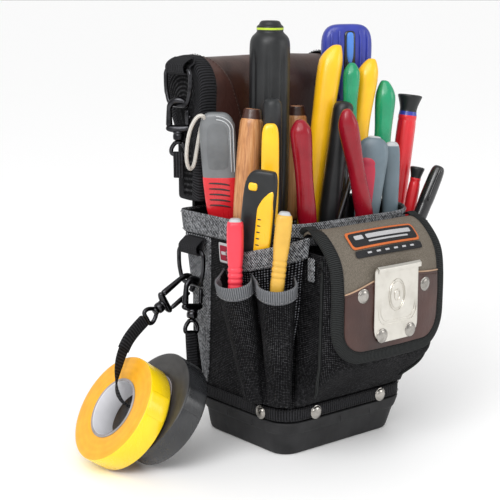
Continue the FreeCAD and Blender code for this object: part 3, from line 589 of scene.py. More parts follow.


# On the black nylon and mesh the light tone is painted highlight: sparse glints on black yarn.
NYLON = weave("ballistic_nylon", (0.0025, 0.0025, 0.003), (0.09, 0.09, 0.095), 1.9, 45.0, 0.25, 0.75, 0.5,
              (0.55, 0.85), spec=0.06)
MESH = weave("coarse_mesh", (0.0015, 0.0015, 0.002), (0.3, 0.31, 0.34), 2.6, 45.0, 0.5, 0.7, 0.45,
             (0.55, 0.85), spec=0.06)
INNER = weave("inner_lining", (0.003, 0.003, 0.003), (0.014, 0.014, 0.015), 1.4, 0.0, 0.15, 0.9, 0.4)
CANVAS = weave("taupe_canvas", (0.1, 0.084, 0.066), (0.25, 0.22, 0.18), 1.0, 0.0, 0.2, 0.88, 0.5)
GREY_WEB = weave("grey_webbing", (0.015, 0.016, 0.018), (0.4, 0.41, 0.43), 2.3, 0.0, 0.5, 0.8, 0.62,
                 stretch=0.8)
GROSGRAIN = ribbed("grey_grosgrain", (0.05, 0.052, 0.057), (0.2, 0.207, 0.22), 1.6, 0.25)
BLACK_GROSGRAIN = ribbed("black_grosgrain", (0.004, 0.0045, 0.0045), (0.034, 0.036, 0.036), 1.3, 0.25)
BLACK_WEB = ribbed("black_webbing", (0.0025, 0.0025, 0.003), (0.03, 0.03, 0.033), 2.1, 0.5)
RUBBER = moulded("rubber_base", (0.014, 0.014, 0.015), 0.62, 0.7, 0.06, 0.25, spec=0.3)
LEATHER = leather("brown_leather", (0.022, 0.008, 0.006), (0.048, 0.019, 0.014), (0.09, 0.038, 0.028),
                  (0.055, 0.018, 0.013))
ROLL_LEATHER = leather("roll_leather", (0.01, 0.0045, 0.0035), (0.026, 0.011, 0.008), (0.07, 0.033, 0.024),
                       (0.06, 0.02, 0.012))
EDGE = moulded("raw_leather_edge", (0.4, 0.26, 0.17), 0.7, 0.5, 0.08)
THREAD_BLACK = ribbed("black_thread", (0.006, 0.006, 0.006), (0.04, 0.04, 0.04), 0.5, 0.05)
THREAD_GREY = moulded("grey_thread", (0.2, 0.2, 0.21), 0.7, 0.4, 0.05)
THREAD_BROWN = moulded("brown_thread", (0.06, 0.03, 0.02), 0.6, 0.4, 0.05)
NICKEL = metal("brushed_nickel", (0.66, 0.635, 0.58), 0.3, (1.0, 1.0, 0.06), 0.01, (0.6, 0.575, 0.52))
# Rivet steel and its darker patches are painted dark reflection: darkened to stand in for the dark
# surroundings the rivets mirror.
RIVET = metal("rivet_steel", (0.42, 0.4, 0.37), 0.22, depth=0.006, wear_and_dark_reflection=(0.25, 0.235, 0.215))
CLIP_STEEL = metal("clip_steel", (0.4, 0.4, 0.4), 0.34, (1.0, 1.0, 0.05), 0.015, (0.35, 0.35, 0.35))
SHAFT = metal("shaft_steel", (0.32, 0.32, 0.335), 0.3, (1.0, 1.0, 0.1), 0.01)
BLACK_STEEL = metal("black_steel", (0.05, 0.05, 0.054), 0.22, depth=0.01, wear_and_dark_reflection=(0.02, 0.02, 0.022))
BLACK_PLASTIC = moulded("black_plastic", (0.009, 0.01, 0.011), 0.38, 0.7, 0.04, 0.2, spec=0.4)
BLACK_GLOSS = moulded("black_gloss", (0.006, 0.006, 0.007), 0.2, 1.2, 0.02, 0.2, 0.3)
CHARCOAL = moulded("charcoal_plastic", (0.013, 0.0145, 0.016), 0.42, 0.7, 0.04, 0.15, spec=0.4)
BLUE = moulded("blue_plastic", (0.022, 0.036, 0.3), 0.3, 1.0, 0.03, 0.12, 0.2)
SKY = moulded("sky_plastic", (0.07, 0.22, 0.66), 0.35, 1.0, 0.03)
YELLOW = moulded("yellow_grip", (0.92, 0.5, 0.006), 0.3, 1.1, 0.035, 0.06, 0.2)
PALE_YELLOW = moulded("pale_yellow", (0.66, 0.38, 0.05), 0.4, 1.1, 0.04, 0.1, 0.1)
GREEN = moulded("green_grip", (0.005, 0.27, 0.12), 0.26, 1.1, 0.035, 0.14, 0.25)
RED = moulded("dark_red_grip", (0.26, 0.003, 0.013), 0.24, 1.1, 0.03, 0.14, 0.15, spec=0.35)
BRIGHT_RED = moulded("red_plastic", (0.66, 0.012, 0.02), 0.28, 1.0, 0.03, 0.1, 0.25)
PINK_RED = moulded("pen_red", (0.78, 0.035, 0.062), 0.36, 1.0, 0.04, 0.08, 0.1)
ROSE = moulded("rose_inset", (0.5, 0.026, 0.06), 0.4, 1.0, 0.04, 0.1)
GREY = moulded("grey_plastic", (0.15, 0.158, 0.165), 0.34, 1.0, 0.04, 0.14, 0.1)
STEEL_BLUE = moulded("steel_blue_plastic", (0.13, 0.175, 0.205), 0.36, 1.0, 0.04, 0.12, 0.1)
# Light grey plastic for pen ends and end buttons; on the folding saw it is painted highlight along the bevel.
LIGHT_GREY_AND_BEVEL_HIGHLIGHT = moulded("light_grey_plastic_and_bevel_highlight", (0.44, 0.455, 0.47), 0.34, 1.0, 0.03, 0.1)
LIME = moulded("lime_ring", (0.45, 0.6, 0.03), 0.35, 1.0, 0.02)
COPPER = metal("copper_end", (0.66, 0.33, 0.18), 0.25)
BROWN_CAP = moulded("brown_cap", (0.045, 0.014, 0.008), 0.34, 0.9, 0.06, 0.25, 0.2)
DARK_GREY = moulded("dark_grey_plastic", (0.125, 0.132, 0.138), 0.34, 1.0, 0.05, 0.2, 0.1)
WOOD = wood("turned_wood")
ORANGE = weave("orange_label", (0.42, 0.09, 0.025), (0.74, 0.22, 0.07), 0.9, 0.0, 0.12, 0.75, 0.3)
LABEL_BLACK = weave("label_field", (0.01, 0.01, 0.011), (0.045, 0.045, 0.047), 0.9, 0.0, 0.1, 0.8, 0.3)
LABEL_GREY = weave("label_grey", (0.34, 0.34, 0.35), (0.56, 0.56, 0.57), 0.9, 0.0, 0.1, 0.8, 0.3)
LABEL_RED = weave("label_red", (0.2, 0.01, 0.025), (0.34, 0.03, 0.05), 0.9, 0.0, 0.1, 0.8, 0.3)
CORE = moulded("paper_core", (0.72, 0.72, 0.75), 0.75, 0.8, 0.06, 0.04)
CORE_EDGE = moulded("core_edge", (0.3, 0.28, 0.28), 0.8, 0.8, 0.08, 0.2)
YELLOW_SIDE = tape_side("yellow_tape_side", (0.74, 0.33, 0.012), (0.9, 0.43, 0.02), YELLOW_FACE,
                        YELLOW_NORMAL)
YELLOW_RIM = moulded("yellow_tape_rim", (0.95, 0.66, 0.004), 0.24, 2.5, 0.03, 0.05, 0.3)
BLACK_SIDE = tape_side("black_tape_side", (0.022, 0.021, 0.021), (0.042, 0.04, 0.04), BLACK_FACE,
                       BLACK_NORMAL)
BLACK_RIM = moulded("black_tape_rim", (0.02, 0.021, 0.023), 0.26, 2.5, 0.03, 0.15, 0.25)
WHITE_CORD = ribbed("white_cord", (0.4, 0.37, 0.33), (0.74, 0.71, 0.66), 1.3, 0.25)


# ---------------------------------------------------------------- camera, floor and light

CAMERA_AT = (-0.6253, -0.6991, 0.3274)
CAMERA_PITCH = 11.3
CAMERA_TURN = -39.5
LIGHT_AIM = (-0.03, 0.0, 0.13)
LAMPS = [
    ("sky_left", "SUN", (-1.2, -0.9, 1.7), 0.9, 1.55),
    ("key_left", "AREA", (-1.5, -0.6, 1.1), 0.8, 9.0),
    ("fill_right", "AREA", (1.1, -1.4, 0.7), 0.9, 5.0),
]


def add_camera():
    """Camera at the photo's viewing angle, in metres."""
    camera = bpy.data.cameras.new("camera")
    camera.lens = 90.07
    camera.sensor_width = 36.0
    camera.clip_end = 2000.0
    viewer = bpy.data.objects.new("camera", camera)
    viewer.location = CAMERA_AT
    viewer.rotation_euler = (math.radians(90 - CAMERA_PITCH), 0.0, math.radians(CAMERA_TURN))
    bpy.context.scene.collection.objects.link(viewer)
    bpy.context.scene.camera = viewer


def add_floor():
    """Wide pale floor."""
    floor_mesh = bpy.data.meshes.new("floor")
    reach = 600.0
    floor_mesh.from_pydata([(-reach, -reach, 0), (reach, -reach, 0), (reach, reach, 0), (-reach, reach, 0)],
                           [], [(0, 1, 2, 3)])
    floor = bpy.data.objects.new("floor", floor_mesh)
    pale = Look("pale_floor", rough=0.6)
    pale.shader.inputs["Base Color"].default_value = (0.95, 0.95, 0.95, 1.0)
    floor_mesh.materials.append(pale.material)
    bpy.context.scene.collection.objects.link(floor)


def add_light():
    """White surroundings, a soft sun and two round lamps."""
    world = bpy.data.worlds.new("studio")
    world.use_nodes = True
    world.node_tree.nodes["Background"].inputs[0].default_value = (1.0, 1.0, 1.0, 1.0)
    world.node_tree.nodes["Background"].inputs[1].default_value = 0.7
    bpy.context.scene.world = world
    for name, kind, where, size, power in LAMPS:
        light = bpy.data.lights.new(name, kind)
        if kind == "SUN":
            light.angle = size
        else:
            light.shape = "DISK"
            light.size = size
        light.energy = power
        lamp = bpy.data.objects.new(name, light)
        lamp.location = where
        aim = Vector(LIGHT_AIM) - Vector(where)
        lamp.rotation_euler = aim.to_track_quat("-Z", "Y").to_euler()
        bpy.context.scene.collection.objects.link(lamp)
    bpy.context.scene.view_settings.view_transform = "Standard"


# ---------------------------------------------------------------- tape strap

STRAP_STEPS = 90


def spline_line(name, points, order=3):
    """Points of the NURBS line that a route's control points draw."""
    curve = bpy.data.curves.new(name, "CURVE")
    curve.dimensions = "3D"
    curve.resolution_u = 8
    spline = curve.splines.new("NURBS")
    spline.points.add(len(points) - 1)
    for point, place in zip(spline.points, points):
        point.co = tuple(Vector(place) * MM) + (1.0,)
    spline.order_u = order
    spline.use_endpoint_u = True
    obj = bpy.data.objects.new(name, curve)
    bpy.context.scene.collection.objects.link(obj)
    mesh = bpy.data.meshes.new_from_object(obj)
    line = [Vector(v.co) / MM for v in mesh.vertices]
    bpy.data.objects.remove(obj)
    bpy.data.meshes.remove(mesh)
    return line


def strip(name, line, width, thick, across, levels=1):
    """Flat strap along a line, its width along the across direction."""
    rows = []
    for index, point in enumerate(line):
        way = line[min(index + 1, len(line) - 1)] - line[max(index - 1, 0)]
        side, depth = frame_of(way, across[index])
        w = width / 2
        t = thick / 2
        ring = []
        for x, y in ((-w, 0), (-w * 0.96, t * 0.8), (-w * 0.5, t), (0, t), (w * 0.5, t), (w * 0.96, t * 0.8),
                     (w, 0), (w * 0.96, -t * 0.8), (w * 0.5, -t), (0, -t), (-w * 0.5, -t),
                     (-w * 0.96, -t * 0.8)):
            ring.append(point + side * x + depth * y)
        rows.append(ring)
    flipped = [[row[c] for row in rows] for c in range(len(rows[0]))]
    flipped.append([p.copy() for p in flipped[0]])
    return skin(name, flipped, False, levels=levels)


def tape_strap():
    """Narrow webbing strap through both tape rolls, with a sewn fold at each hook's eye."""
    line = resample(spline_line("strap_line", STRAP_ROUTE), STRAP_STEPS)
    across = []
    for index in range(STRAP_STEPS):
        share = index / (STRAP_STEPS - 1)
        flat = Vector((0.1, 1.0, 0.1))
        front = Vector((0.486, -0.1, -0.874)).lerp(flat, smooth((share - 0.14) / 0.3))
        rear = flat.lerp(Vector((1.0, 0.1, -0.16)), smooth((share - 0.66) / 0.2))
        across.append(front if share < 0.6 else rear)
    strap = strip("tape_strap_webbing", line, STRAP_WIDTH, STRAP_THICK, across)
    settle(strap, "tape_thong", [BLACK_WEB], ["tape_strap"])
    start = line[0] + (line[0] - line[2]).normalized() * 3.4
    finish = line[-1] + (line[-1] - line[-3]).normalized() * 3.4
    for name, ends, sides in (("strap_fold_front", [start] + line[:14], across[:15]),
                              ("strap_fold_rear", line[-16:] + [finish], across[-17:])):
        fold = strip(name, ends, STRAP_WIDTH + 0.9, 3.9, sides)
        settle(fold, "tape_thong", [BLACK_WEB])


def saw_cord():
    """Off-white wrist cord: a loop from the saw's upper corner, its two ends tied in one knot."""
    line = resample(spline_line("saw_cord_line", SAW_CORD_ROUTE), 80)
    cord = tube("saw_cord", line, SAW_CORD_WIDE / 2, 12, 0)
    settle(cord, "folding_saw_body", [WHITE_CORD])
    rings = [(0.0, 0.8, 0.8, 0), (0.8, 2.0, 2.0, 0), (2.2, 2.5, 2.5, 0), (3.6, 2.0, 2.0, 0),
             (4.4, 0.8, 0.8, 0)]
    way = (line[-1] - line[-4]).normalized()
    knot = limb("saw_cord_knot", line[-1] - way * 1.6, line[-1] + way * 2.8, rings, count=20, levels=1)
    settle(knot, "folding_saw_body", [WHITE_CORD])


add_camera()
add_floor()
add_light()
tape_strap()
saw_cord()


# ---------------------------------------------------------------- pouch body

def level_at(z):
    """Pouch plan at a height: half width, front y, back y, front radius, back radius."""
    if z <= BODY_WAIST[0]:
        low, high = BODY_FOOT, BODY_WAIST
    else:
        low, high = BODY_COLLAR, BODY_RIM
    share = (z - low[0]) / (high[0] - low[0])
    return tuple(lerp(a, b, share) for a, b in zip(low[1:], high[1:]))


def plan_loop(z, grow=0.0, count=120):
    """Closed plan of the pouch at a height, moved outwards by grow."""
    half, front, back, front_r, back_r = level_at(z)
    half += grow
    front -= grow
    back += grow
    front_r += grow
    back_r = max(back_r + grow, 1.0)
    corners = [
        (half - back_r, back - back_r, back_r, 0),
        (-half + back_r, back - back_r, back_r, 90),
        (-half + front_r, front + front_r, front_r, 180),
        (half - front_r, front + front_r, front_r, 270),
    ]
    points = []
    for x, y, r, start in corners:
        for step in range(9):
            angle = math.radians(start + 90 * step / 8)
            points.append(Vector((x + r * math.cos(angle), y + r * math.sin(angle), z)))
    return resample(points, count, True)


def outward(loop, index):
    """Level outward direction of a closed plan at a point."""
    way = loop[(index + 1) % len(loop)] - loop[index - 1]
    return Vector((way.y, -way.x, 0)).normalized()


def side_line(z, grow, side, back_y, front_x, count):
    """Plan of one side from back_y round the front corner to front_x."""
    half, front, _, front_r, _ = level_at(z)
    half += grow
    front -= grow
    r = front_r + grow
    x = half - r
    y = front + r
    points = []
    first = 0.0
    if back_y > y:
        points = [Vector((side * half, lerp(back_y, y, step / 12), z)) for step in range(12)]
    else:
        first = math.asin(min((y - back_y) / r, 1.0))
    last = math.acos(max(min((front_x - x) / r, 1.0), 0.0)) if front_x > x else math.pi / 2
    for step in range(17):
        angle = lerp(first, last, step / 16)
        points.append(Vector((side * (x + r * math.cos(angle)), y - r * math.sin(angle), z)))
    return resample(points, count)


def body_shell():
    """Sewn nylon shell: outer skin, rolled rim, inner lining and floor in one closed mesh."""
    outer = [3.4, 8, 16, 24, 27, 28.2, 34, 42, 56, 72, 88, 104, 120, 136, 150, 162, 170, 172.6]
    inner = [172.6, 168, 150, 120, 90, 60, 40, 29, 27, 18, 8.0, 7.0]
    rows = []
    slots = []
    for z in outer:
        loop = plan_loop(z, 0.0 if z < 172 else -0.4)
        row = []
        for index, p in enumerate(loop):
            fold = wander((p.x, p.y, z * 0.6), 26.0, 1.1, 3.0) * smooth((z - 30) / 30)
            row.append(p + outward(loop, index) * min(fold - 0.5, 0.1) if z > 30 else p)
        rows.append(row)
        slots.append(0)
    for z in inner:
        rows.append(plan_loop(z, -BODY_WALL if z < 172 else -1.8))
        slots.append(1)
    shell = skin("body_nylon", rows, True, levels=1, slots=slots, cap=True)
    settle(shell, "pouch", [NYLON, INNER], ["body_shell"])


def band(name, z_low, z_high, near, thick, material, hides, count=160):
    """Webbing band around the body with rounded edges."""
    edge = 0.7
    section = [
        (z_low + 0.2, near), (z_low, near + thick * 0.5), (z_low + edge, near + thick),
        (lerp(z_low, z_high, 0.3), near + thick + 0.15), (lerp(z_low, z_high, 0.7), near + thick + 0.15),
        (z_high - edge, near + thick), (z_high, near + thick * 0.5), (z_high - 0.2, near),
        (z_low + 0.2, near),
    ]
    rows = []
    for z, out in section:
        loop = plan_loop(z, out, count)
        rows.append([p + outward(loop, i) * wander((p.x, p.y, 0), 18.0, 0.3, 8.0)
                     for i, p in enumerate(loop)])
    obj = skin(name, rows, True, levels=1)
    return settle(obj, "pouch", [material], hides)


def band_seam(z, out):
    """Line round the pouch for stitches."""
    loop = plan_loop(z, out, 220)
    return [(p, outward(loop, i)) for i, p in enumerate(loop)]


def base_tray():
    """Moulded rubber tray: a lip around the body above a recessed lower part with fine ribs."""
    rows = []
    section = [(0.0, -3.0), (0.3, -1.2), (2.0, -0.6), (9.0, -0.7), (16.4, -0.9), (17.6, -0.8), (18.2, 0.0),
               (19.0, 0.25), (25.4, 0.2), (26.6, -0.1), (27.2, -1.0), (27.0, -3.0), (24.0, -5.4)]
    for z, grow in section:
        share = min(z / 27.0, 1.0)
        half, front, back, front_r, back_r = [lerp(a, b, share) for a, b in
                                              zip((57.0, -48.0, 48.0, 14.0, 14.0),
                                                  (64.0, -56.0, 50.0, 18.0, 18.0))]
        points = []
        for x, y, r, start in ((half - back_r, back - back_r, back_r, 0),
                               (back_r - half, back - back_r, back_r, 90),
                               (front_r - half, front + front_r, front_r, 180),
                               (half - front_r, front + front_r, front_r, 270)):
            for step in range(9):
                angle = math.radians(start + 90 * step / 8)
                points.append(Vector((x + (r + grow) * math.cos(angle), y + (r + grow) * math.sin(angle), z)))
        rows.append(resample(points, 140, True))
    tray = skin("rubber_tray", rows, True, levels=1, cap=True)
    settle(tray, "pouch", [RUBBER], ["base_tray"])
    verticals = []
    for x, y in ((-8.0, -56.4), (22.0, -56.4), (-64.4, 8.0), (64.4, 8.0), (-64.4, -20.0), (64.4, -20.0)):
        verticals.append([Vector((x * 0.998, y * 0.998, 19.4)), Vector((x, y, 22.0)), Vector((x, y, 25.0))])
    for index, line in enumerate(verticals):
        rib = tube("tray_rib_%d" % index, line, 0.5, 8, 1)
        settle(rib, "pouch", [RUBBER])


def side_label():
    """Small woven label under the rim band on the left side."""
    for name, y0, y1, z0, z1, off, material in (
            ("side_label_border", -6.5, 5.5, 139.5, 155.0, 0.9, LABEL_GREY),
            ("side_label_field", -4.8, 3.8, 141.5, 153.0, 1.3, LABEL_RED),
            ("side_label_bar", -3.0, 2.0, 146.0, 148.5, 1.6, LABEL_GREY)):
        rows = []
        for k in range(5):
            z = lerp(z0, z1, k / 4)
            x = -level_at(z)[0] - off
            rows.append([Vector((x, lerp(y1, y0, j / 8), z)) for j in range(9)])
        obj = skin(name, rows, False, thick=0.6, levels=1)
        obj.modifiers["thickness"].offset = 0.0
        settle(obj, "pouch", [material])


def bands():
    """Base band, rim band and their edge stitching."""
    band("base_webbing", BAND_LOW, BAND_TOP, 0.3, 1.7, BLACK_WEB, ["base_band"])
    band("rim_webbing", RIM_BAND_LOW, RIM_TOP, 0.3, 1.3, GREY_WEB, ["rim_band"])
    stitches("rim_stitches", [band_seam(RIM_BAND_LOW + 1.8, 1.75), band_seam(RIM_TOP - 2.2, 1.75)],
             THREAD_GREY, "pouch")
    stitches("base_stitches", [band_seam(BAND_TOP - 1.3, 2.15), band_seam(BAND_LOW + 1.5, 2.15)],
             THREAD_BLACK, "pouch")


def corner_webbing(side, name, node):
    """Grey webbing folded over a back corner, narrowing towards the base."""
    rows = []
    seam = []
    for step in range(15):
        z = lerp(BAND_TOP + 1.0, RIM_BAND_LOW - 0.5, step / 14)
        share = step / 14
        start_y = lerp(34.0, 15.0, share ** 0.85)
        half, _, back, _, back_r = level_at(z)
        half += 0.35
        back += 0.35
        r = max(back_r, 1.0)
        points = [Vector((side * half, start_y, z)), Vector((side * half, lerp(start_y, back - r, 0.5), z))]
        reach = min(max((62.0 - (half - r)) / r, 0.0), 1.0)
        turn = math.acos(reach)
        for k in range(9):
            angle = turn * k / 8
            x = half - r + r * math.cos(angle)
            points.append(Vector((side * x, back - r + r * math.sin(angle), z)))
        if half - r > 62.0:
            points.append(Vector((side * 62.0, back, z)))
        row = resample(points, 22)
        rows.append(row)
        seam.append((row[0] + Vector((side * 1.1, 1.6, 0)), Vector((side, 0, 0))))
    order = 1 if side < 0 else -1
    obj = skin(name, [row[::order] for row in rows], False, thick=1.1, levels=1)
    obj.modifiers["thickness"].offset = 1.0
    settle(obj, "pouch", [GREY_WEB], [node])
    stitches(name + "_stitches", [seam], THREAD_GREY, "pouch")


def pocket_rise(share):
    """How far a side pocket's top edge climbs on its way from the rear to the flap."""
    return lerp(POCKET_RISE_REAR, POCKET_RISE_FRONT, max((share - 0.25) / 0.75, 0.0))


def side_pocket(side, name, node, bulge, back_y):
    """Coarse mesh pocket hung from its band, gathered at the foot, with loose folds."""
    rows = []
    steps = 20
    for step in range(steps):
        z = lerp(POCKET_LOW, POCKET_TOP - 1.0, step / (steps - 1))
        share = (z - POCKET_LOW) / (POCKET_TOP - POCKET_LOW)
        grow = lerp(BULGE_LOW, bulge, share) - 0.2
        line = side_line(z, grow, side, back_y, POCKET_FRONT_X, 46)
        wall = side_line(z, 0.4, side, back_y, POCKET_FRONT_X, 46)
        row = [wall[0], wall[0].lerp(line[0], 0.5)]
        for index, p in enumerate(line):
            along = index / 45
            fold = math.sin(along * 23 + z * 0.09) * 3.4 * (1 - share) ** 1.5
            fold += wander((p.x, p.y, z * 0.6), 14.0, 3.2 * (1.3 - share), side * 2.0)
            inward = (wall[index] - p).normalized()
            depth = 0.9 - fold * 0.55 if 0 < step < steps - 2 else 0.2
            row.append(p + inward * max(depth, 0.0))
        row += [wall[-1].lerp(line[-1], 0.5), wall[-1]]
        rows.append([p + Vector((0, 0, share * pocket_rise(min(max((k - 2) / 45, 0.0), 1.0))))
                     for k, p in enumerate(row)])
    foot = side_line(POCKET_LOW - 1.2, 0.5, side, back_y, POCKET_FRONT_X, 46)
    rows.insert(0, [foot[0], foot[0]] + foot + [foot[-1], foot[-1]])
    order = 1 if side < 0 else -1
    obj = skin(name, [row[::order] for row in rows], False, thick=1.3, levels=1)
    settle(obj, "pouch", [MESH], [node])


def side_pocket_band(side, name, node, bulge, back_y):
    """Grey webbing sewn over the side pocket's top edge, folded to the inside."""
    rows = []
    near = 0.35
    thick = 1.2
    low = POCKET_TOP - POCKET_BAND
    section = [(low + 0.3, near), (low, near + thick * 0.6), (low + 0.9, near + thick),
               (low + 5, near + thick + 0.1), (low + 10, near + thick + 0.1),
               (POCKET_TOP - 0.9, near + thick), (POCKET_TOP, near * 0.4), (POCKET_TOP - 0.6, -1.6),
               (low + 9, -1.9), (low + 3, -1.9)]
    for z, out in section:
        share = (z - POCKET_LOW) / (POCKET_TOP - POCKET_LOW)
        grow = lerp(BULGE_LOW, bulge, share) + out
        line = side_line(z, grow, side, back_y, POCKET_FRONT_X, 60)
        rows.append([p + Vector((0, 0, pocket_rise(k / 59))) for k, p in enumerate(line)])
    order = 1 if side < 0 else -1
    obj = skin(name, [row[::order] for row in rows], False, levels=1)
    settle(obj, "pouch", [GREY_WEB], [node])
    lines = []
    for z in (low + 1.8, POCKET_TOP - 2.4):
        share = (z - POCKET_LOW) / (POCKET_TOP - POCKET_LOW)
        line = side_line(z, lerp(BULGE_LOW, bulge, share) + near + thick + 0.1, side, back_y, POCKET_FRONT_X,
                         60)
        line = [p + Vector((0, 0, pocket_rise(k / 59))) for k, p in enumerate(line)]
        normals = []
        for index, p in enumerate(line):
            way = line[min(index + 1, 59)] - line[max(index - 1, 0)]
            normals.append((p, Vector((way.y, -way.x, 0)).normalized()))
        lines.append([(p, n if n.dot(Vector((side, -0.6, 0))) > 0 else -n) for p, n in normals])
    stitches(name + "_stitches", lines, THREAD_GREY, "pouch")


def pocket_surface(angle, z, off):
    """Point on the left side pocket's rounded front corner, off outwards."""
    half, front, _, front_r, _ = level_at(z)
    share = min((z - POCKET_LOW) / (POCKET_TOP - POCKET_LOW), 1.0)
    r = front_r + lerp(BULGE_LOW, BULGE_LEFT, share) + off
    return Vector((-half + front_r + r * math.cos(angle), front + front_r + r * math.sin(angle), z))


def slim_pocket(name, node, centre, foot, ends):
    """Narrow nylon pocket with a dipped grosgrain rim, sewn to the side pocket at both ends."""
    angle = math.atan2(centre[1] + 22.6, centre[0] + 37.3)
    out = Vector((math.cos(angle), math.sin(angle), 0))
    across = Vector((-math.sin(angle), math.cos(angle), 0))

    def place(share, z, extra):
        """Point of the pocket: share from end to end, extra outwards."""
        rise = (z - SLIM_LOW) / (SLIM_TOP - SLIM_LOW)
        width = lerp(SLIM_HALF * 0.62, SLIM_HALF, rise) + extra
        depth = lerp(SLIM_DEPTH * 0.5, SLIM_DEPTH, rise) + extra
        middle = Vector((lerp(foot[0], centre[0], rise), lerp(foot[1], centre[1], rise), z))
        turn = max(min(share / 0.74, 1.0), -1.0) * math.radians(98)
        fold = math.cos(turn * 5 + z * 0.02) * (1 - smooth(rise)) * (1 if extra < 0.5 else 0)
        sideways = across * ((width + fold * 0.3) * math.sin(turn))
        p = middle + sideways + out * ((depth + fold) * math.cos(turn))
        if abs(share) > 0.74:
            end = pocket_surface(ends[0 if share < 0 else 1], z, 0.6 + extra * 0.5)
            p = p.lerp(end, (abs(share) - 0.74) / 0.26)
        return p

    def rim(share):
        """Height of the dipped rim, highest at both ends."""
        return SLIM_TOP - 3.0 + 7.5 * abs(share) ** 1.6

    shares = [lerp(-1, 1, k / 40) for k in range(41)]
    rows = []
    steps = 14
    for step in range(steps):
        rise = step / (steps - 1)
        rows.append([place(u, lerp(SLIM_LOW, rim(u) - 1.0, rise), -0.25) for u in shares])
    obj = skin(name, rows, False, thick=1.2, levels=1)
    settle(obj, "pouch", [NYLON], [node])
    section = [(-SLIM_BAND, 0.1), (-SLIM_BAND + 0.5, 0.8), (-SLIM_BAND * 0.5, 1.0), (-1.0, 0.95), (0.0, 0.2),
               (-0.8, -1.5), (-SLIM_BAND * 0.7, -1.6)]
    rows = [[place(u, rim(u) + dz, extra + 0.02) for u in shares] for dz, extra in section]
    trim = skin(name + "_binding", rows, False, levels=1)
    settle(trim, "pouch", [GROSGRAIN])
    line = []
    for u in shares:
        turn = u / 0.74 * math.radians(98)
        line.append((place(u, rim(u) - SLIM_BAND + 1.6, 1.0), out * math.cos(turn) + across * math.sin(turn)))
    stitches(name + "_stitches", [line], THREAD_GREY, "pouch", 2.8, 1.8, 0.28)


def front_line(z, count=74):
    """Plan of the front pocket at a height: left side, front, right side."""
    body = level_at(z)[1] - 0.4
    if z < FRONT_LOW + 34:
        out = lerp(body - 5.0, FRONT_OUT, smooth((z - FRONT_LOW) / 34.0) * 0.4 + 0.6 * (z - FRONT_LOW) / 34.0)
    else:
        out = FRONT_OUT + 3.5 * smooth((z - FRONT_TOP + 8) / 8)
    r = min(7.0, (body - out) * 0.7)
    left = [Vector((-FRONT_HALF, lerp(body, out + r, k / 6), z)) for k in range(7)]
    for k in range(1, 9):
        angle = math.radians(180 + 90 * k / 8)
        left.append(Vector((-FRONT_HALF + r + r * math.cos(angle), out + r + r * math.sin(angle), z)))
    right = [Vector((-p.x, p.y, p.z)) for p in left[::-1]]
    return resample(left + right, count)


def front_pocket():
    """Nylon pocket under the flap, with pulled-in gussets and a puffed front."""
    rows = []
    for z in (41, 42, 46, 52, 58, 64, 70, 76, 84, 94, 104, 114, 124, 134, 144, 151, 154.6, 155.6):
        line = front_line(z)
        row = []
        for index, p in enumerate(line):
            share = index / (len(line) - 1)
            rise = smooth((z - 50) / 24)
            gusset = math.exp(-((share - 0.07) / 0.045) ** 2) + math.exp(-((share - 0.93) / 0.045) ** 2)
            inward = Vector((-1 if p.x > 0 else 1, 0, 0)) * gusset * 2.2 * rise
            puff = Vector((0, -1, 0)) * math.cos(p.x / 40.0) * 0.6 * rise if abs(p.x) < 50 else Vector()
            sway = Vector((0, wander((p.x, 0, z * 0.7), 21.0, 1.3, 5.0), 0)) * rise
            row.append(p + inward + puff + (sway if abs(p.x) < 50 else sway * 0.3))
        rows.append(row)
    obj = skin("front_pocket_nylon", rows, False, thick=1.6, levels=1)
    settle(obj, "pouch", [NYLON], ["front_pocket"])
    for side in (-1, 1):
        seam = []
        for z in range(48, 154, 4):
            line = front_line(z)
            corner = line[11 if side < 0 else -12]
            seam.append(corner + Vector((side * 0.5, -0.6, 0)))
        pipe = tube("front_piping_left" if side < 0 else "front_piping_right", seam, 1.2, 10, 1)
        settle(pipe, "pouch", [BLACK_GROSGRAIN])
    tab_rows = []
    for z in (136.0, 138, 144, 150, 153.0):
        tab_rows.append([Vector((-FRONT_HALF - 0.6 - 0.5 * math.sin(k / 3 * math.pi), -70.5 - 2.4 * k, z))
                         for k in range(4)])
    tab = skin("gusset_tab", tab_rows, False, thick=1.0, levels=1)
    tab.modifiers["thickness"].offset = 1.0
    settle(tab, "pouch", [GREY_WEB])


# ---------------------------------------------------------------- flap

FLAP_PATH = curve_through([Vector((0.0, y, z)) for y, z in FLAP_LINE], 10)
FLAP_AT = lengths(FLAP_PATH)


def flap_normal(index):
    """Outward direction of the flap's side line at a point."""
    way = FLAP_PATH[min(index + 1, len(FLAP_PATH) - 1)] - FLAP_PATH[max(index - 1, 0)]
    return Vector((0, -way.z, way.y)).normalized() * -1


def flap_point(x, s, off=0.0):
    """Point on the flap's outer face: x across, s along from the hinge, off outwards."""
    s = min(max(s, 0.0), FLAP_AT[-1])
    index = 0
    while index < len(FLAP_AT) - 2 and FLAP_AT[index + 1] < s:
        index += 1
    share = (s - FLAP_AT[index]) / (FLAP_AT[index + 1] - FLAP_AT[index])
    p = FLAP_PATH[index].lerp(FLAP_PATH[index + 1], share)
    n = flap_normal(index).lerp(flap_normal(index + 1), share).normalized()
    if n.y > 0.2 or n.z < -0.2:
        n = -n
    crown = FLAP_CROWN * (x / FLAP_HALF) ** 2 * (0.35 + 0.65 * smooth(s / 40.0))
    made = p + n * (off - crown)
    made.x = x * FLAP_DRAW + FLAP_SHIFT
    return made


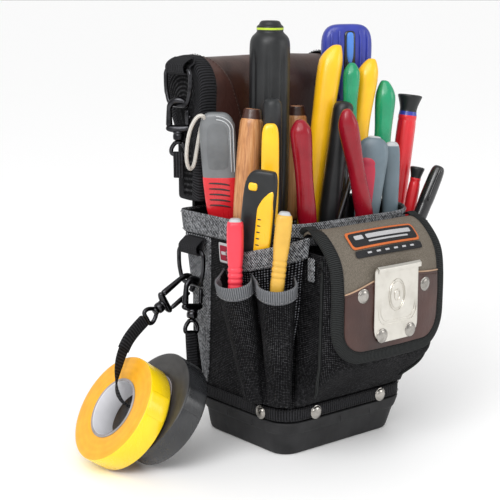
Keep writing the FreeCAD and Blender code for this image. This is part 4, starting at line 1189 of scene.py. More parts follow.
def flap_s(z):
    """Distance along the flap at which its line is at a height."""
    for index in range(len(FLAP_PATH) - 1, 0, -1):
        if FLAP_PATH[index].z <= z <= FLAP_PATH[index - 1].z:
            gap = FLAP_PATH[index - 1].z - FLAP_PATH[index].z
            share = (FLAP_PATH[index - 1].z - z) / max(gap, 1e-6)
            return lerp(FLAP_AT[index - 1], FLAP_AT[index], share)
    return 0.0


def corner_half(z, half, bottom, corner):
    """Half width at a height with rounded lower corners."""
    rise = z - bottom
    if rise >= corner:
        return half
    rise = max(rise, 0.0)
    return half - corner + math.sqrt(max(corner ** 2 - (corner - rise) ** 2, 0.0))


def flap_rows(bottom, corner, top_s, steps=12):
    """Heights along the flap, close together at the rounded corners."""
    s_corner = flap_s(bottom + corner)
    rows = [lerp(top_s, s_corner, k / steps) for k in range(steps)]
    for k in range(9):
        angle = math.radians(90 * k / 8)
        rows.append(flap_s(bottom + corner * (1 - math.sin(angle))))
    return rows


def z_of(s):
    """Height of the flap's side line at a distance along it."""
    return flap_point(0.0, s).z


def flap_canvas():
    """Canvas flap, crowned across, with its lining."""
    rows = []
    for s in flap_rows(FLAP_BOTTOM, FLAP_CORNER, 0.6):
        half = corner_half(z_of(s), FLAP_HALF, FLAP_BOTTOM, FLAP_CORNER)
        row = []
        for k in range(33):
            x = half * (k / 16 - 1)
            row.append(flap_point(x, s, wander((x, s, 0), 24.0, 0.5, 1.0)))
        rows.append(row)
    obj = skin("flap_canvas", rows[::-1], False, thick=FLAP_THICK, levels=1)
    obj.modifiers["thickness"].material_offset = 1
    settle(obj, "flap_body", [CANVAS, INNER], ["flap"])
    return obj


def edge_path(half, bottom, corner, top_s):
    """Edge of the flap: (x, s, inward x, inward s) from the upper left round to the upper right."""
    left = []
    s_corner = flap_s(bottom + corner)
    for k in range(14):
        left.append((-half, lerp(top_s, s_corner, k / 14), 1.0, 0.0))
    for k in range(11):
        angle = math.radians(90 * k / 10)
        x = -half + corner - corner * math.cos(angle)
        left.append((x, s_corner + corner * math.sin(angle), math.cos(angle), -math.sin(angle)))
    for k in range(1, 7):
        left.append((lerp(-half + corner, 0, k / 7), s_corner + corner, 0.0, -1.0))
    right = [(-x, s, -ix, ins) for x, s, ix, ins in left[::-1]]
    return left + [(0.0, s_corner + corner, 0.0, -1.0)] + right


def flap_trim():
    """Grosgrain folded over the flap's edge, and its stitches."""
    path = edge_path(FLAP_HALF, FLAP_BOTTOM, FLAP_CORNER, 3.0)
    section = [(BINDING, 0.15), (BINDING - 0.5, 1.0), (BINDING * 0.5, 1.5), (1.2, 1.35), (-0.8, 0.2),
               (-1.1, -1.5), (-0.8, -3.1), (1.2, -3.9), (BINDING * 0.5, -4.0), (BINDING, -3.4)]
    rows = []
    for inward, off in section:
        rows.append([flap_point(x + ix * inward, s + ins * inward, off)
                     if inward > 0 else
                     flap_point(x, s, off) + Vector((ix * inward, 0, 0)) + Vector((0, 0, -ins * inward))
                     for x, s, ix, ins in path])
    obj = skin("flap_edge_binding", rows, False, levels=1)
    settle(obj, "flap_body", [BLACK_GROSGRAIN], ["flap_binding"])
    seam = []
    for x, s, ix, ins in path:
        p = flap_point(x + ix * (BINDING - 1.6), s + ins * (BINDING - 1.6), 1.35)
        seam.append((p, Vector((0.05 if x > 0 else -0.05, -1.0, 0.15))))
    stitches("flap_binding_stitches", [seam], THREAD_BLACK, "flap_body", 2.9, 2.0, 0.3)


def leather_top(x):
    """Height of the leather apron's curved top edge."""
    share = x / 49.0
    return 139.0 - 9.0 * smooth(max(-share, 0.0)) * abs(share) ** 0.5 - 3.5 * smooth(max(share, 0.0))


def leather_apron():
    """Leather apron on the flap's lower part, with its raw top edge and a sewn line."""
    half = FLAP_HALF - BINDING + 0.4
    bottom = FLAP_BOTTOM + BINDING - 0.4
    corner = FLAP_CORNER - BINDING
    rows = []
    heights = [bottom + corner * (1 - math.cos(math.radians(90 * k / 8))) for k in range(9)]
    heights += [lerp(bottom + corner, LEATHER_MID, k / 10) for k in range(1, 11)]
    for z_row in heights:
        width = corner_half(z_row, half, bottom, corner)
        row = []
        for k in range(33):
            x = width * (k / 16 - 1)
            z = bottom + (z_row - bottom) * (leather_top(x) - bottom) / (LEATHER_MID - bottom)
            row.append(flap_point(x, flap_s(z), 1.25 + wander((x, z, 0), 15.0, 0.35, 4.0)))
        rows.append(row)
    obj = skin("leather_apron", rows, False, thick=1.2, levels=1)
    settle(obj, "flap_body", [LEATHER], ["flap_leather"])
    edge = [flap_point(half * (k / 20 - 1), flap_s(leather_top(half * (k / 20 - 1)) + 0.1), 0.8)
            for k in range(41)]
    raw = tube("leather_raw_edge", edge, 0.62, 8, 1)
    settle(raw, "flap_body", [EDGE])
    seam = []
    for k in range(41):
        x = half * 0.98 * (k / 20 - 1)
        seam.append((flap_point(x, flap_s(leather_top(x) - 2.4), 1.35), Vector((0, -1, 0.2))))
    stitches("leather_stitches", [seam], THREAD_BROWN, "flap_body", 3.0, 2.1, 0.3)


def patch(name, x0, x1, s0, s1, off, material, slot, thick=0.6, corner=1.5):
    """Woven label on the flap between two widths and two distances along it."""
    rows = []
    for k in range(7):
        s = lerp(s0, s1, k / 6)
        pull = corner if k in (0, 6) else 0.0
        rows.append([flap_point(lerp(x0 + pull, x1 - pull, j / 24), s, off) for j in range(25)])
    obj = skin(name, rows[::-1], False, thick=thick, levels=1)
    return settle(obj, "flap_body", [material])


def labels():
    """Plain woven label above the leather: a bordered field over a narrow strip."""
    low = flap_s(140.0) - 14.0
    patch("label_strip", -35.0, 35.0, low - 5.6, low, 0.75, LABEL_BLACK, "black_webbing")
    patch("label_border", -36.0, 36.0, low - 21.5, low - 6.4, 0.85, ORANGE, "taupe_canvas")
    patch("label_field", -34.2, 34.2, low - 19.8, low - 8.1, 1.15, LABEL_BLACK, "black_webbing")
    for index, (a, b) in enumerate(((-29.5, -21.0), (-18.0, 29.5))):
        patch("label_bar_%d" % index, a, b, low - 17.2, low - 13.6, 1.45, LABEL_GREY, "grey_webbing", 0.4,
              0.6)
    patch("label_line", -18.0, 24.0, low - 12.0, low - 10.6, 1.45, LABEL_GREY, "grey_webbing", 0.4, 0.3)
    for index in range(6):
        x = -24.0 + index * 9.0
        patch("label_dash_%d" % index, x, x + 4.0, low - 3.6, low - 2.2, 1.25, LABEL_GREY, "grey_webbing",
              0.4, 0.2)


def plate_surface(x, z, out=0.0):
    """Point on the clip plate's outer face, very slightly bowed."""
    bow = 0.5 * (x / PLATE_HALF) ** 2
    return Vector((x * FLAP_DRAW + FLAP_SHIFT, PLATE_BACK - 1.3 + bow - out, z))


def clip_plate():
    """Pressed nickel plate: rounded foot, folded top edge, stamped double line and oval."""
    rows = []
    heights = [PLATE_LOW + PLATE_CORNER * (1 - math.cos(math.radians(90 * k / 8))) for k in range(9)]
    heights += [lerp(PLATE_LOW + PLATE_CORNER, PLATE_HIGH - 2.5, k / 9) for k in range(1, 10)]
    for z in heights:
        half = corner_half(z, PLATE_HALF, PLATE_LOW, PLATE_CORNER * 0.75) if z < PLATE_LOW + PLATE_CORNER \
            else PLATE_HALF
        rows.append([plate_surface(half * (k / 12 - 1), z) for k in range(25)])
    for out, z in ((0.6, PLATE_HIGH - 0.7), (1.5, PLATE_HIGH), (2.3, PLATE_HIGH - 0.8),
                   (2.1, PLATE_HIGH - 3.4)):
        rows.append([plate_surface((PLATE_HALF - 0.6) * (k / 12 - 1), z, out) for k in range(25)])
    obj = skin("nickel_plate", rows, False, thick=1.1, levels=0)
    bevel = obj.modifiers.new("edge", "BEVEL")
    bevel.width = 0.3 * MM
    bevel.segments = 2
    settle(obj, "flap_body", [NICKEL], ["clip_plate"])
    for index, inset in enumerate((4.2, 6.2)):
        half = PLATE_HALF - inset
        corner = 8.0
        low = PLATE_LOW + 12.5 + index * 2.0
        points = [plate_surface(-half, z, 0.12) for z in (PLATE_HIGH - 7, 128, 116)]
        for k in range(7):
            angle = math.radians(180 + 90 * k / 6)
            points.append(plate_surface(-half + corner + corner * math.cos(angle),
                                        low + corner + corner * math.sin(angle), 0.12))
        points += [Vector((-p.x, p.y, p.z)) for p in points[::-1]]
        line = tube("plate_line_%d" % index, points, 0.42, 8, 1, flat=0.6)
        settle(line, "flap_body", [NICKEL])
    for index, (a, b, r) in enumerate(((8.4, 11.4, 0.55), (6.9, 9.8, 0.35), (2.8, 4.0, 0.5))):
        ring = [plate_surface(a * math.cos(t), 124.5 + b * math.sin(t), 0.1)
                for t in [2 * math.pi * k / 48 for k in range(48)]]
        oval = tube("plate_oval_%d" % index, ring, r, 8, 0, closed=True, flat=0.7, across=(0, 1, 0))
        settle(oval, "flap_body", [NICKEL])


def rivet(name, centre, direction, radius, height, body):
    """Domed rivet head with a rolled rim."""
    profile = [(radius, -0.3), (radius * 1.02, 0.25), (radius * 0.97, 0.55), (radius * 0.86, 0.7)]
    for k in range(1, 7):
        angle = math.radians(90 * k / 6)
        profile.append((radius * 0.84 * math.cos(angle) + 0.01, 0.6 + (height - 0.6) * math.sin(angle)))
    obj = lathe(name, centre, direction, profile, 36, levels=1)
    return settle(obj, body, [RIVET])


def rivets():
    """Every rivet head: base band, belt clip, clip plate and leather."""
    z = 32.5
    off = 2.2
    radius = 5.2
    half, front, back, _, _ = level_at(z)
    for x in (-33.0, 33.0):
        rivet("rivet_front_%d" % (x > 0), (x, front - off, z), (0, -1, 0.05), radius, 2.4,
                          "pouch")
        rivet("rivet_back_%d" % (x > 0), (x, back + off, z), (0, 1, 0.02), radius, 2.4, "pouch")
    for side in (-1, 1):
        rivet("rivet_side_%d" % (side > 0), (side * (half + off), -31.0, z), (side, 0, 0), radius,
                          2.4, "pouch")
    for x in (-14.0, 14.0):
        rivet("rivet_clip_%d" % (x > 0), (x, 59.65, 136.0), (0, 1, 0), 4.6, 1.8, "pouch")
    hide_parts("body_rivets")
    for side in (-1, 1):
        plate = plate_surface(side * 15.0, 97.0)
        rivet("rivet_plate_%d" % (side > 0), tuple(plate), (0, -1, 0), radius, 1.8, "flap_body")
        leather_at = flap_point(side * 32.8, flap_s(127.5), 1.2)
        rivet("rivet_leather_%d" % (side > 0), tuple(leather_at), (side * 0.07, -1, 0), radius,
                           2.0, "flap_body")
    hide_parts("flap_rivets")


base_tray()
body_shell()
side_label()
bands()
corner_webbing(-1, "corner_left", "corner_webbing_left")
corner_webbing(1, "corner_right", "corner_webbing_right")
side_pocket(-1, "mesh_pocket_left", "side_pocket_left", BULGE_LEFT, POCKET_BACK_LEFT)
side_pocket(1, "mesh_pocket_right", "side_pocket_right", BULGE_RIGHT, POCKET_BACK_RIGHT)
side_pocket_band(-1, "pocket_band_left", "side_pocket_left_band", BULGE_LEFT, POCKET_BACK_LEFT)
side_pocket_band(1, "pocket_band_right", "side_pocket_right_band", BULGE_RIGHT, POCKET_BACK_RIGHT)
slim_pocket("slim_rear", "slim_pocket_rear", *SLIM_REAR, (math.radians(174.0), math.radians(204.0)))
slim_pocket("slim_front", "slim_pocket_front", *SLIM_FRONT, (math.radians(204.0), math.radians(238.0)))
front_pocket()
flap_canvas()
flap_trim()
leather_apron()
labels()
clip_plate()
rivets()


# ---------------------------------------------------------------- back panel and handle roll

def back_panel():
    """Stiff nylon panel with a bound edge, and the steel belt clip's finish."""
    half = 59.6
    low = 40.4
    high = 214.0
    rows = []
    section = [(1.0, 53.9), (0.3, 54.2), (0.0, 55.6), (0.3, 57.0), (1.2, 57.5), (6.0, 57.7), (18.0, 57.75),
               (36.0, 57.75), (56.0, 57.75)]

    def ring(inset, y):
        """Rounded outline of the panel, inset from its edge, at a depth y."""
        r = max(6.0 - inset, 0.6)
        points = []
        for x, z, start in ((half - inset - r, high - inset - r, 0),
                            (-half + inset + r, high - inset - r, 90),
                            (-half + inset + r, low + inset + r, 180),
                            (half - inset - r, low + inset + r, 270)):
            for k in range(7):
                angle = math.radians(start + 90 * k / 6)
                points.append(Vector((x + r * math.cos(angle), y, z + r * math.sin(angle))))
        return resample(points, 96, True)

    for inset, y in [(56.0, 53.7), (30.0, 53.7), (6.0, 53.75)] + section:
        rows.append(ring(inset, y))
    obj = skin("back_panel_nylon", rows, True, levels=1, cap=True)
    settle(obj, "pouch", [NYLON], ["back_panel"])
    trim = [ring(i, y)
            for i, y in ((7.5, 57.65), (6.8, 58.2), (3.0, 58.3), (0.3, 57.6), (-0.3, 55.6), (0.4, 53.6))]
    edge = skin("back_panel_binding", trim, True, levels=1)
    settle(edge, "pouch", [BLACK_GROSGRAIN])
    seam = ring(5.9, 58.25)
    stitches("back_panel_stitches", [[(p, Vector((0, 1, 0))) for p in seam]], THREAD_BLACK, "pouch")
    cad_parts["belt_clip"].data.materials.clear()
    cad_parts["belt_clip"].data.materials.append(CLIP_STEEL)


def roll_section(grow, count=72):
    """Closed section of the handle roll, in the YZ plane, moved outwards by grow."""
    r = ROLL_R + grow
    points = [Vector((0, 30.0 - grow, 182.0 - grow * 0.5)), Vector((0, 41.0, 181.4 - grow * 0.5)),
              Vector((0, 53.0 + grow, 182.0 - grow * 0.5)), Vector((0, 53.0 + grow, 200.0)),
              Vector((0, 53.2 + grow, 226.0))]
    for k in range(22):
        angle = math.radians(-48 + 238 * k / 21)
        x = ROLL_Y + r * math.cos(angle)
        if angle < -0.3:
            x = min(x, 65.0 + grow)
        points.append(Vector((0, x, ROLL_Z + r * math.sin(angle))))
    points.append(Vector((0, 27.2 - grow, 236.0)))
    points.append(Vector((0, 28.8 - grow, 210.0)))
    return resample(points, count, True)


def roll_skin(x, off=0.0, count=72):
    """Section of the roll at a place along it, with its padding and wrinkles."""
    share = abs(x) / ROLL_HALF
    crown = 0.9 * (1 - share ** 2) - 0.5
    section = roll_section(crown + off, count)
    made = []
    for p in section:
        near_end = smooth((share - 0.55) / 0.4)
        fold = wander((x * 0.35, p.y, p.z), 15.0, 1.1, 6.0)
        fold += near_end * wander((x, p.y * 0.4, p.z * 0.4), 7.0, 0.8)
        centre = Vector((0, 43.0, 250.0))
        way = (p - centre).normalized()
        made.append(Vector((x, p.y, p.z)) + way * (fold * 0.7 - 0.35))
    return made


def handle_roll():
    """Padded leather roll with a sewn side panel, in brown oiled leather."""
    xs = [lerp(-ROLL_HALF, ROLL_HALF, k / 40) for k in range(41)]
    obj = skin("handle_leather", [roll_skin(x) for x in xs], True, levels=1, cap=True)
    settle(obj, "pouch", [ROLL_LEATHER], ["handle_roll"])
    rows = []
    seam = []
    first, last = 37, 71
    for k in range(first, last + 1):
        share = (k - first) / (last - first)
        right = lerp(-59.0, -33.0, smooth(share * 1.5))
        rows.append([roll_skin(lerp(-61.0, right, j / 12), 0.75)[k] for j in range(13)])
        p = roll_skin(right - 1.8, 0.95)[k]
        seam.append((p, Vector((0, p.y - ROLL_Y, max(p.z - ROLL_Z, 0.0))).normalized()))
    cover = skin("handle_side_panel", rows[::-1], False, thick=0.9, levels=1)
    settle(cover, "pouch", [LEATHER])
    stitches("handle_panel_stitches", [seam], THREAD_BROWN, "pouch", 3.0, 2.1, 0.3)


def handle_end(side, name, node):
    """Black fabric end of the roll, puffed, with webbing edging folded round its edge."""
    rows = []
    centre = Vector((0, 43.0, 242.0))
    for size, x in ((1.0, 73.2), (0.97, 74.0), (0.88, 74.35), (0.7, 74.6), (0.45, 74.8), (0.2, 74.9)):
        ring = [centre + (p - centre) * size + Vector((side * x, 0, 0)) for p in roll_section(0.0)]
        rows.append(ring)
    obj = skin(name, rows, True, levels=1, cap=True)
    settle(obj, "pouch", [NYLON], [node])
    section = [(60.2, 0.4), (60.0, 1.0), (61.0, 1.5), (66.0, 1.7), (71.5, 1.6), (74.0, 1.0), (75.0, -0.6),
               (75.3, -3.0), (75.1, -6.0), (74.4, -6.4)]
    rows = [[p + Vector((side * x, 0, 0)) for p in roll_section(off, 110)] for x, off in section]
    trim = skin(name + "_edging", rows, True, levels=1)
    settle(trim, "pouch", [BLACK_WEB])
    seam = [(p + Vector((side * 62.0, 0, 0)), (p - centre).normalized()) for p in roll_section(1.75, 110)]
    stitches(name + "_stitches", [seam], THREAD_BLACK, "pouch", 3.0, 2.0, 0.3)


def ring_loop(name, node, anchor, wall_x, plate_high):
    """Webbing loop round a D-ring's bar, its tail laid up the wall."""
    x, y, z = anchor
    r = 2.6
    side = [
        (wall_x - 0.7, plate_high), (wall_x - 0.8, z + 6.0), (wall_x - 2.0, z + 4.0), (x + r + 0.6, z + 2.6),
        (x + r, z), (x + r * 0.7, z - r * 0.7), (x, z - r), (x - r * 0.7, z - r * 0.7), (x - r, z),
        (x - r + 0.2, z + 3.2), (x + 1.0, z + 6.0), (wall_x - 2.6, z + 7.6), (wall_x - 2.2, plate_high - 1.4),
    ]
    line = curve_through([Vector((a, 0, b)) for a, b in side], 4)
    rows = [[Vector((p.x, y - 10.8 + 21.6 * k / 14, p.z)) for k in range(15)] for p in line]
    obj = skin(name, rows, False, thick=1.2, levels=1)
    settle(obj, "pouch", [BLACK_WEB], [node])


back_panel()
handle_roll()
handle_end(-1, "handle_cap_left", "handle_end_left")
handle_end(1, "handle_cap_right", "handle_end_right")
ring_loop("handle_loop", "handle_ring_loop", HANDLE_RING, -74.7, HANDLE_RING[2] + 9.0)
ring_loop("rim_loop", "rim_ring_loop", RIM_RING, -75.4, RIM_BAND_LOW - 1.2)


# ---------------------------------------------------------------- hooks, rings and tape

def hook_frame(ring, shift, direction, flat):
    """Place of a snap hook hung on a ring: local -Z along it, local X across it."""
    down = vec(direction).normalized()
    bar = Vector((ring[0], ring[1] + shift, ring[2] - RING_DROP))
    origin = bar + down * HOOK_REACH
    z_axis = -down
    x_axis = vec(flat).normalized().cross(z_axis).normalized()
    y_axis = z_axis.cross(x_axis)
    place = Matrix((x_axis, y_axis, z_axis)).transposed().to_4x4()
    place.translation = origin
    return place


def put(place, points):
    """Local points in the hook's place."""
    return [place @ Vector(p) for p in points]


def snap_hook(name, node, place, leg, body):
    """Cast hook: thick bow, flat spine, cross bar and a grooved swivel barrel."""
    points = []
    sizes = []
    for k in range(17):
        angle = math.radians(12 + 168 * k / 16)
        points.append((HOOK_R * math.cos(angle), 0, HOOK_R * math.sin(angle)))
        sizes.append(1.9 + 0.8 * math.sin(math.pi * k / 16))
    for k in range(1, 7):
        points.append((-HOOK_R, 0, -leg * k / 6))
        sizes.append(2.0 + 0.6 * k / 6)
    across = place.to_3x3() @ Vector((0, 1, 0))
    bow = tube(name + "_bow", put(place, points), sizes, 14, 1, across=across)
    settle(bow, body, [BLACK_STEEL], [node])
    bar_points = [(-9.2, 0, -leg - 1.0), (-7.5, 0, -leg - 1.6), (-3, 0, -leg - 2.0), (3, 0, -leg - 2.0),
                  (7, 0, -leg - 1.4), (8.8, 0, -leg - 0.4)]
    bar = tube(name + "_bar", put(place, bar_points), [1.8, 2.7, 3.0, 3.0, 2.6, 1.6], 14, 1, across=across)
    settle(bar, body, [BLACK_STEEL])
    top = -leg - 2.6
    profile = [(0.4, 0), (3.2, -0.2), (4.0, -1.4), (4.2, -2.2), (3.7, -2.7), (3.7, -3.1), (4.2, -3.6),
               (4.2, -6.0), (3.8, -7.2), (3.0, -7.7), (0.4, -7.8)]
    way = place.to_3x3() @ Vector((0, 0, 1))
    barrel = lathe(name + "_barrel", tuple(place @ Vector((0, 0, top))), tuple(way), profile, 32, levels=1)
    settle(barrel, body, [BLACK_STEEL])


def hook_gate(name, node, place, leg, body):
    """Sprung gate lever with a thumb nub."""
    low = -leg + 0.6
    high = 0.2
    points = [(HOOK_R, 0, lerp(low, high, k / 6)) for k in range(7)]
    across = place.to_3x3() @ Vector((0, 1, 0))
    lever = tube(name + "_lever", put(place, points), [1.5, 1.9, 1.8, 2.0, 1.9, 1.7, 1.4], 12, 1,
                 across=across)
    settle(lever, body, [BLACK_STEEL], [node])
    nub_z = lerp(low, high, 0.55)
    nub = tube(name + "_nub", put(place, [(HOOK_R + 0.4, 0, nub_z - 0.8), (HOOK_R + 1.8, 0, nub_z),
                                          (HOOK_R + 2.8, 0, nub_z + 0.6)]), [1.5, 1.3, 0.9], 12, 1,
               across=across)
    settle(nub, body, [BLACK_STEEL])


def hook_eye(name, node, place, leg, body):
    """Swivelling eye: a stud and a bent wire loop."""
    top = -leg - 10.7
    low = top - 10.0
    half = 5.6
    line = curve_through([Vector(p) for p in ((0, 0, top - 1.0), (2.6, 0, top - 1.7),
                                              (half - 0.3, 0, low + 4.6), (half, 0, low + 1.5),
                                              (half - 1.6, 0, low), (0, 0, low), (-half + 1.6, 0, low),
                                              (-half, 0, low + 1.5), (-half + 0.3, 0, low + 4.6),
                                              (-2.6, 0, top - 1.7), (0, 0, top - 1.0))], 6)
    loop = tube(name + "_loop", [place @ p for p in line], 1.6, 12, 0,
                across=place.to_3x3() @ Vector((0, 1, 0)))
    settle(loop, body, [BLACK_STEEL], [node])
    way = place.to_3x3() @ Vector((0, 0, 1))
    stud = lathe(name + "_stud", tuple(place @ Vector((0, 0, top))), tuple(way),
                 [(0.3, 0), (3.0, -0.1), (3.4, -0.6), (3.4, -1.8), (2.8, -2.4), (0.3, -2.5)], 28, levels=1)
    settle(stud, body, [BLACK_STEEL])


def eye_fold(name, node, place, leg, body):
    """Short webbing tab folded round the free eye, cut square at its end."""
    low = -leg - 20.7
    side = [(-1.4, low - 17.5), (-1.5, low - 10.0), (-1.7, low - 4.0), (-2.1, low), (-1.5, low + 1.5),
            (0, low + 2.1), (1.5, low + 1.5), (2.1, low), (1.7, low - 4.0), (1.5, low - 10.0),
            (1.4, low - 17.5)]
    line = curve_through([Vector((0, a, b)) for a, b in side], 4)
    rows = [[place @ Vector((-3.9 + 7.8 * k / 8, p.y, p.z)) for k in range(9)] for p in line]
    obj = skin(name, rows, False, thick=1.0, levels=1)
    settle(obj, body, [BLACK_WEB], [node])
    seams = []
    for dx in (-2.6, 2.6):
        seams.append([(place @ Vector((dx, -2.0, low - 15.5 + k)), place.to_3x3() @ Vector((0, -1, 0)))
                      for k in range(12)])
    stitches(name + "_stitches", seams, THREAD_BLACK, body, 2.6, 1.8, 0.26)


def tape_roll(name, node, face, normal, rim, side, body):
    """Roll of vinyl tape: wound sides, glossy rim with a loose end, and a paper core."""
    way = vec(normal).normalized()
    w = TAPE_WIDTH
    wall = 2.2
    bore = TAPE_BORE
    r = TAPE_R
    profile = [(bore + wall, -0.5), (bore + wall + 0.4, -0.15), (bore + 6, -0.05), (r - 6, -0.05),
               (r - 0.9, -0.1), (r - 0.25, -0.35), (r, -0.9), (r, -w / 2), (r, -w + 0.9),
               (r - 0.25, -w + 0.35), (r - 0.9, -w + 0.1), (r - 6, -w + 0.05), (bore + 6, -w + 0.05),
               (bore + wall, -w + 0.15)]
    slots = [1, 1, 1, 1, 1, 0, 0, 0, 0, 1, 1, 1, 1, 1]
    roll = lathe(name + "_tape", face, normal, profile, 96, slots)
    settle(roll, body, [rim, side], [node])
    core_profile = [(bore + wall, -0.2), (bore + wall * 0.5, 0.0), (bore + 0.2, -0.1), (bore, -0.6),
                    (bore, -w / 2), (bore, -w + 0.6), (bore + 0.2, -w + 0.1), (bore + wall * 0.5, -w),
                    (bore + wall, -w + 0.2)]
    core = lathe(name + "_core", face, normal, core_profile, 96, [1, 1, 0, 0, 0, 0, 1, 1, 1])
    settle(core, body,
           [CORE if "yellow" in name else CHARCOAL, CORE_EDGE])
    across, depth = frame_of(way, (0.31, 0.95, 0.05))
    rows = []
    for k in range(13):
        angle = math.radians(200 + k * 2.2)
        lift = 0.12 + (0.5 * smooth((k - 8) / 4))
        out = across * math.cos(angle) + depth * math.sin(angle)
        rows.append([vec(face) + out * (r + lift) - way * (0.8 + (w - 1.6) * j / 4) for j in range(5)])
    end = skin(name + "_loose_end", rows, False, thick=0.18, levels=1)
    settle(end, body, [rim])


for ring in ("handle_ring", "rim_ring"):
    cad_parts[ring].data.materials.clear()
    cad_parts[ring].data.materials.append(BLACK_STEEL)
HANDLE_PLACE = hook_frame(HANDLE_RING, 0.0, (0, 0, -1), (0.8, 0.6, 0))
FRONT_PLACE = hook_frame(RIM_RING, 3.3, (-0.874, 0.0, -0.486), (0, 1, 0))
REAR_PLACE = hook_frame(RIM_RING, -3.3, (-0.16, -0.10, -1.0), (0, 1, 0))
snap_hook("handle_snap", "handle_hook", HANDLE_PLACE, HANDLE_HOOK_LEG, "handle_hook_body")
hook_gate("handle_snap_gate", "handle_hook_gate", HANDLE_PLACE, HANDLE_HOOK_LEG, "handle_hook_gate_body")
hook_eye("handle_snap_eye", "handle_hook_eye", HANDLE_PLACE, HANDLE_HOOK_LEG, "handle_hook_swivel")
eye_fold("handle_snap_tab", "handle_hook_tab", HANDLE_PLACE, HANDLE_HOOK_LEG, "handle_hook_swivel")
snap_hook("front_snap", "strap_hook_front", FRONT_PLACE, FRONT_HOOK_LEG, "tape_thong")
hook_gate("front_snap_gate", "strap_hook_front_gate", FRONT_PLACE, FRONT_HOOK_LEG,
          "strap_hook_front_gate_body")
hook_eye("front_snap_eye", "strap_hook_front_eye", FRONT_PLACE, FRONT_HOOK_LEG, "tape_thong")
snap_hook("rear_snap", "strap_hook_rear", REAR_PLACE, REAR_HOOK_LEG, "tape_thong")
hook_gate("rear_snap_gate", "strap_hook_rear_gate", REAR_PLACE, REAR_HOOK_LEG, "strap_hook_rear_gate_body")
hook_eye("rear_snap_eye", "strap_hook_rear_eye", REAR_PLACE, REAR_HOOK_LEG, "tape_thong")
tape_roll("yellow_roll", "tape_yellow", YELLOW_FACE, YELLOW_NORMAL, YELLOW_RIM, YELLOW_SIDE, "yellow_roll")
tape_roll("black_roll", "tape_black", BLACK_FACE, BLACK_NORMAL, BLACK_RIM, BLACK_SIDE, "black_roll")


# ---------------------------------------------------------------- tools

VIEW_ACROSS = (0.772, -0.636, 0.0)
HIDDEN = 28.0
PLIERS_FLAT = 0.95
RIGHT_LEAN = 0.55


def tool(name, obj, materials):
    """Gives a tool's handle its materials and body, and hides the CAD stand-in."""
    return settle(obj, name + "_body", materials, ["tool_" + name])


def extra(name, obj, slot, materials):
    """Further piece of a tool."""
    return settle(obj, name + "_body", materials)


def shaft(name, top, low, start, tip_z, radius, material=None, flat=1.0):
    """Steel shaft or jaws below a handle, down to the tip."""
    top = vec(top)
    low = vec(low)
    way = (low - top).normalized()
    begin = top + way * start
    length = (begin.z - tip_z) / -way.z
    rings = [(0, radius * 1.25, radius * 1.25, 0), (2, radius, radius, 0), (length - 8, radius, radius, 0),
             (length - 5, radius * 1.2, radius * 0.6 * flat, 0),
             (length, radius * 1.2, radius * 0.3 * flat, 0)]
    end = begin + way * length
    obj = limb(name + "_shaft", begin, end, rings, count=16, levels=1)
    extra(name, obj, "clip_steel", [material or SHAFT])


def fluted_driver():
    """Large black driver: fluted grip, shouldered neck with a lime ring and a grey cap."""
    top = (-28.4, 2.0, 313.0)
    low = (-28.0, 4.0, 186.0)
    rings = [(0.0, 5.6, 5.6, 0), (0.8, 7.4, 7.4, 0), (3.2, 8.0, 8.0, 1), (3.8, 9.6, 9.6, 1),
             (5.0, 9.9, 9.9, 2), (6.8, 9.9, 9.9, 1), (7.6, 9.4, 9.4, 1), (9.0, 10.2, 10.2, 1),
             (11.0, 13.0, 13.0, 1), (14.5, 14.6, 14.6, 1), (20.0, 14.9, 14.9, 1),
             (24.0, 15.0, 15.0, 1, 0, 0, 8, 0.06)]
    rings += [(24.0 + 6 * k, 15.0, 15.0, 1, 0, 0, 8, 0.085) for k in range(1, 16)]
    rings += [(124.0, 14.9, 14.9, 1), (150.0, 14.4, 14.4, 1), (156.0, 9.0, 9.0, 1)]
    tool("fluted_driver", limb("fluted_driver_grip", top, low, rings, count=112, levels=1),
         [CHARCOAL, BLACK_PLASTIC, LIME])
    shaft("fluted_driver", top, low, 155.0, 60.0, 4.6)


def plain_grip(name, top, low, radius, tip, materials, rings=None):
    """Dipped round grip with a domed end."""
    length = (vec(low) - vec(top)).length + HIDDEN
    rings = rings or [
        (0.0, radius * 0.35, radius * 0.35, 0), (0.9, radius * 0.72, radius * 0.72, 0),
        (3.2, radius * 0.95, radius * 0.95, 0), (7.0, radius, radius, 0),
        (16.0, radius * 0.97, radius * 0.97, 0), (length * 0.45, radius * 0.92, radius * 0.92, 0),
        (length * 0.7, radius * 0.97, radius * 0.97, 0), (length - 4, radius * 0.96, radius * 0.96, 0),
        (length, radius * 0.6, radius * 0.6, 0)]
    tool(name, limb(name + "_grip", top, low, rings), materials)
    shaft(name, top, low, length - 1, tip, 2.3)


def wood_chisel(name, top, low, radius, tip):
    """Turned wooden handle with a dark cap and a copper ring end."""
    r = radius
    rings = [(0.3, r * 0.3, r * 0.3, 3), (0.3, r * 0.42, r * 0.42, 2), (0.0, r * 0.48, r * 0.48, 2),
             (0.1, r * 0.6, r * 0.6, 2), (0.5, r * 0.7, r * 0.7, 1), (1.8, r * 0.75, r * 0.75, 1),
             (4.6, r * 0.78, r * 0.78, 1),
             (6.4, r * 0.84, r * 0.84, 1), (7.6, r * 0.82, r * 0.82, 0), (8.6, r * 0.93, r * 0.93, 0),
             (12.0, r * 0.98, r * 0.98, 0), (30.0, r, r, 0), (46.0, r * 0.97, r * 0.97, 0),
             (84.0, r * 0.92, r * 0.92, 0), (88.0, r * 0.6, r * 0.6, 0)]
    tool(name, limb(name + "_handle", top, low, rings, count=32, levels=1),
         [WOOD, BROWN_CAP, COPPER, BROWN_CAP])
    shaft(name, top, low, 87.0, tip, 3.0)


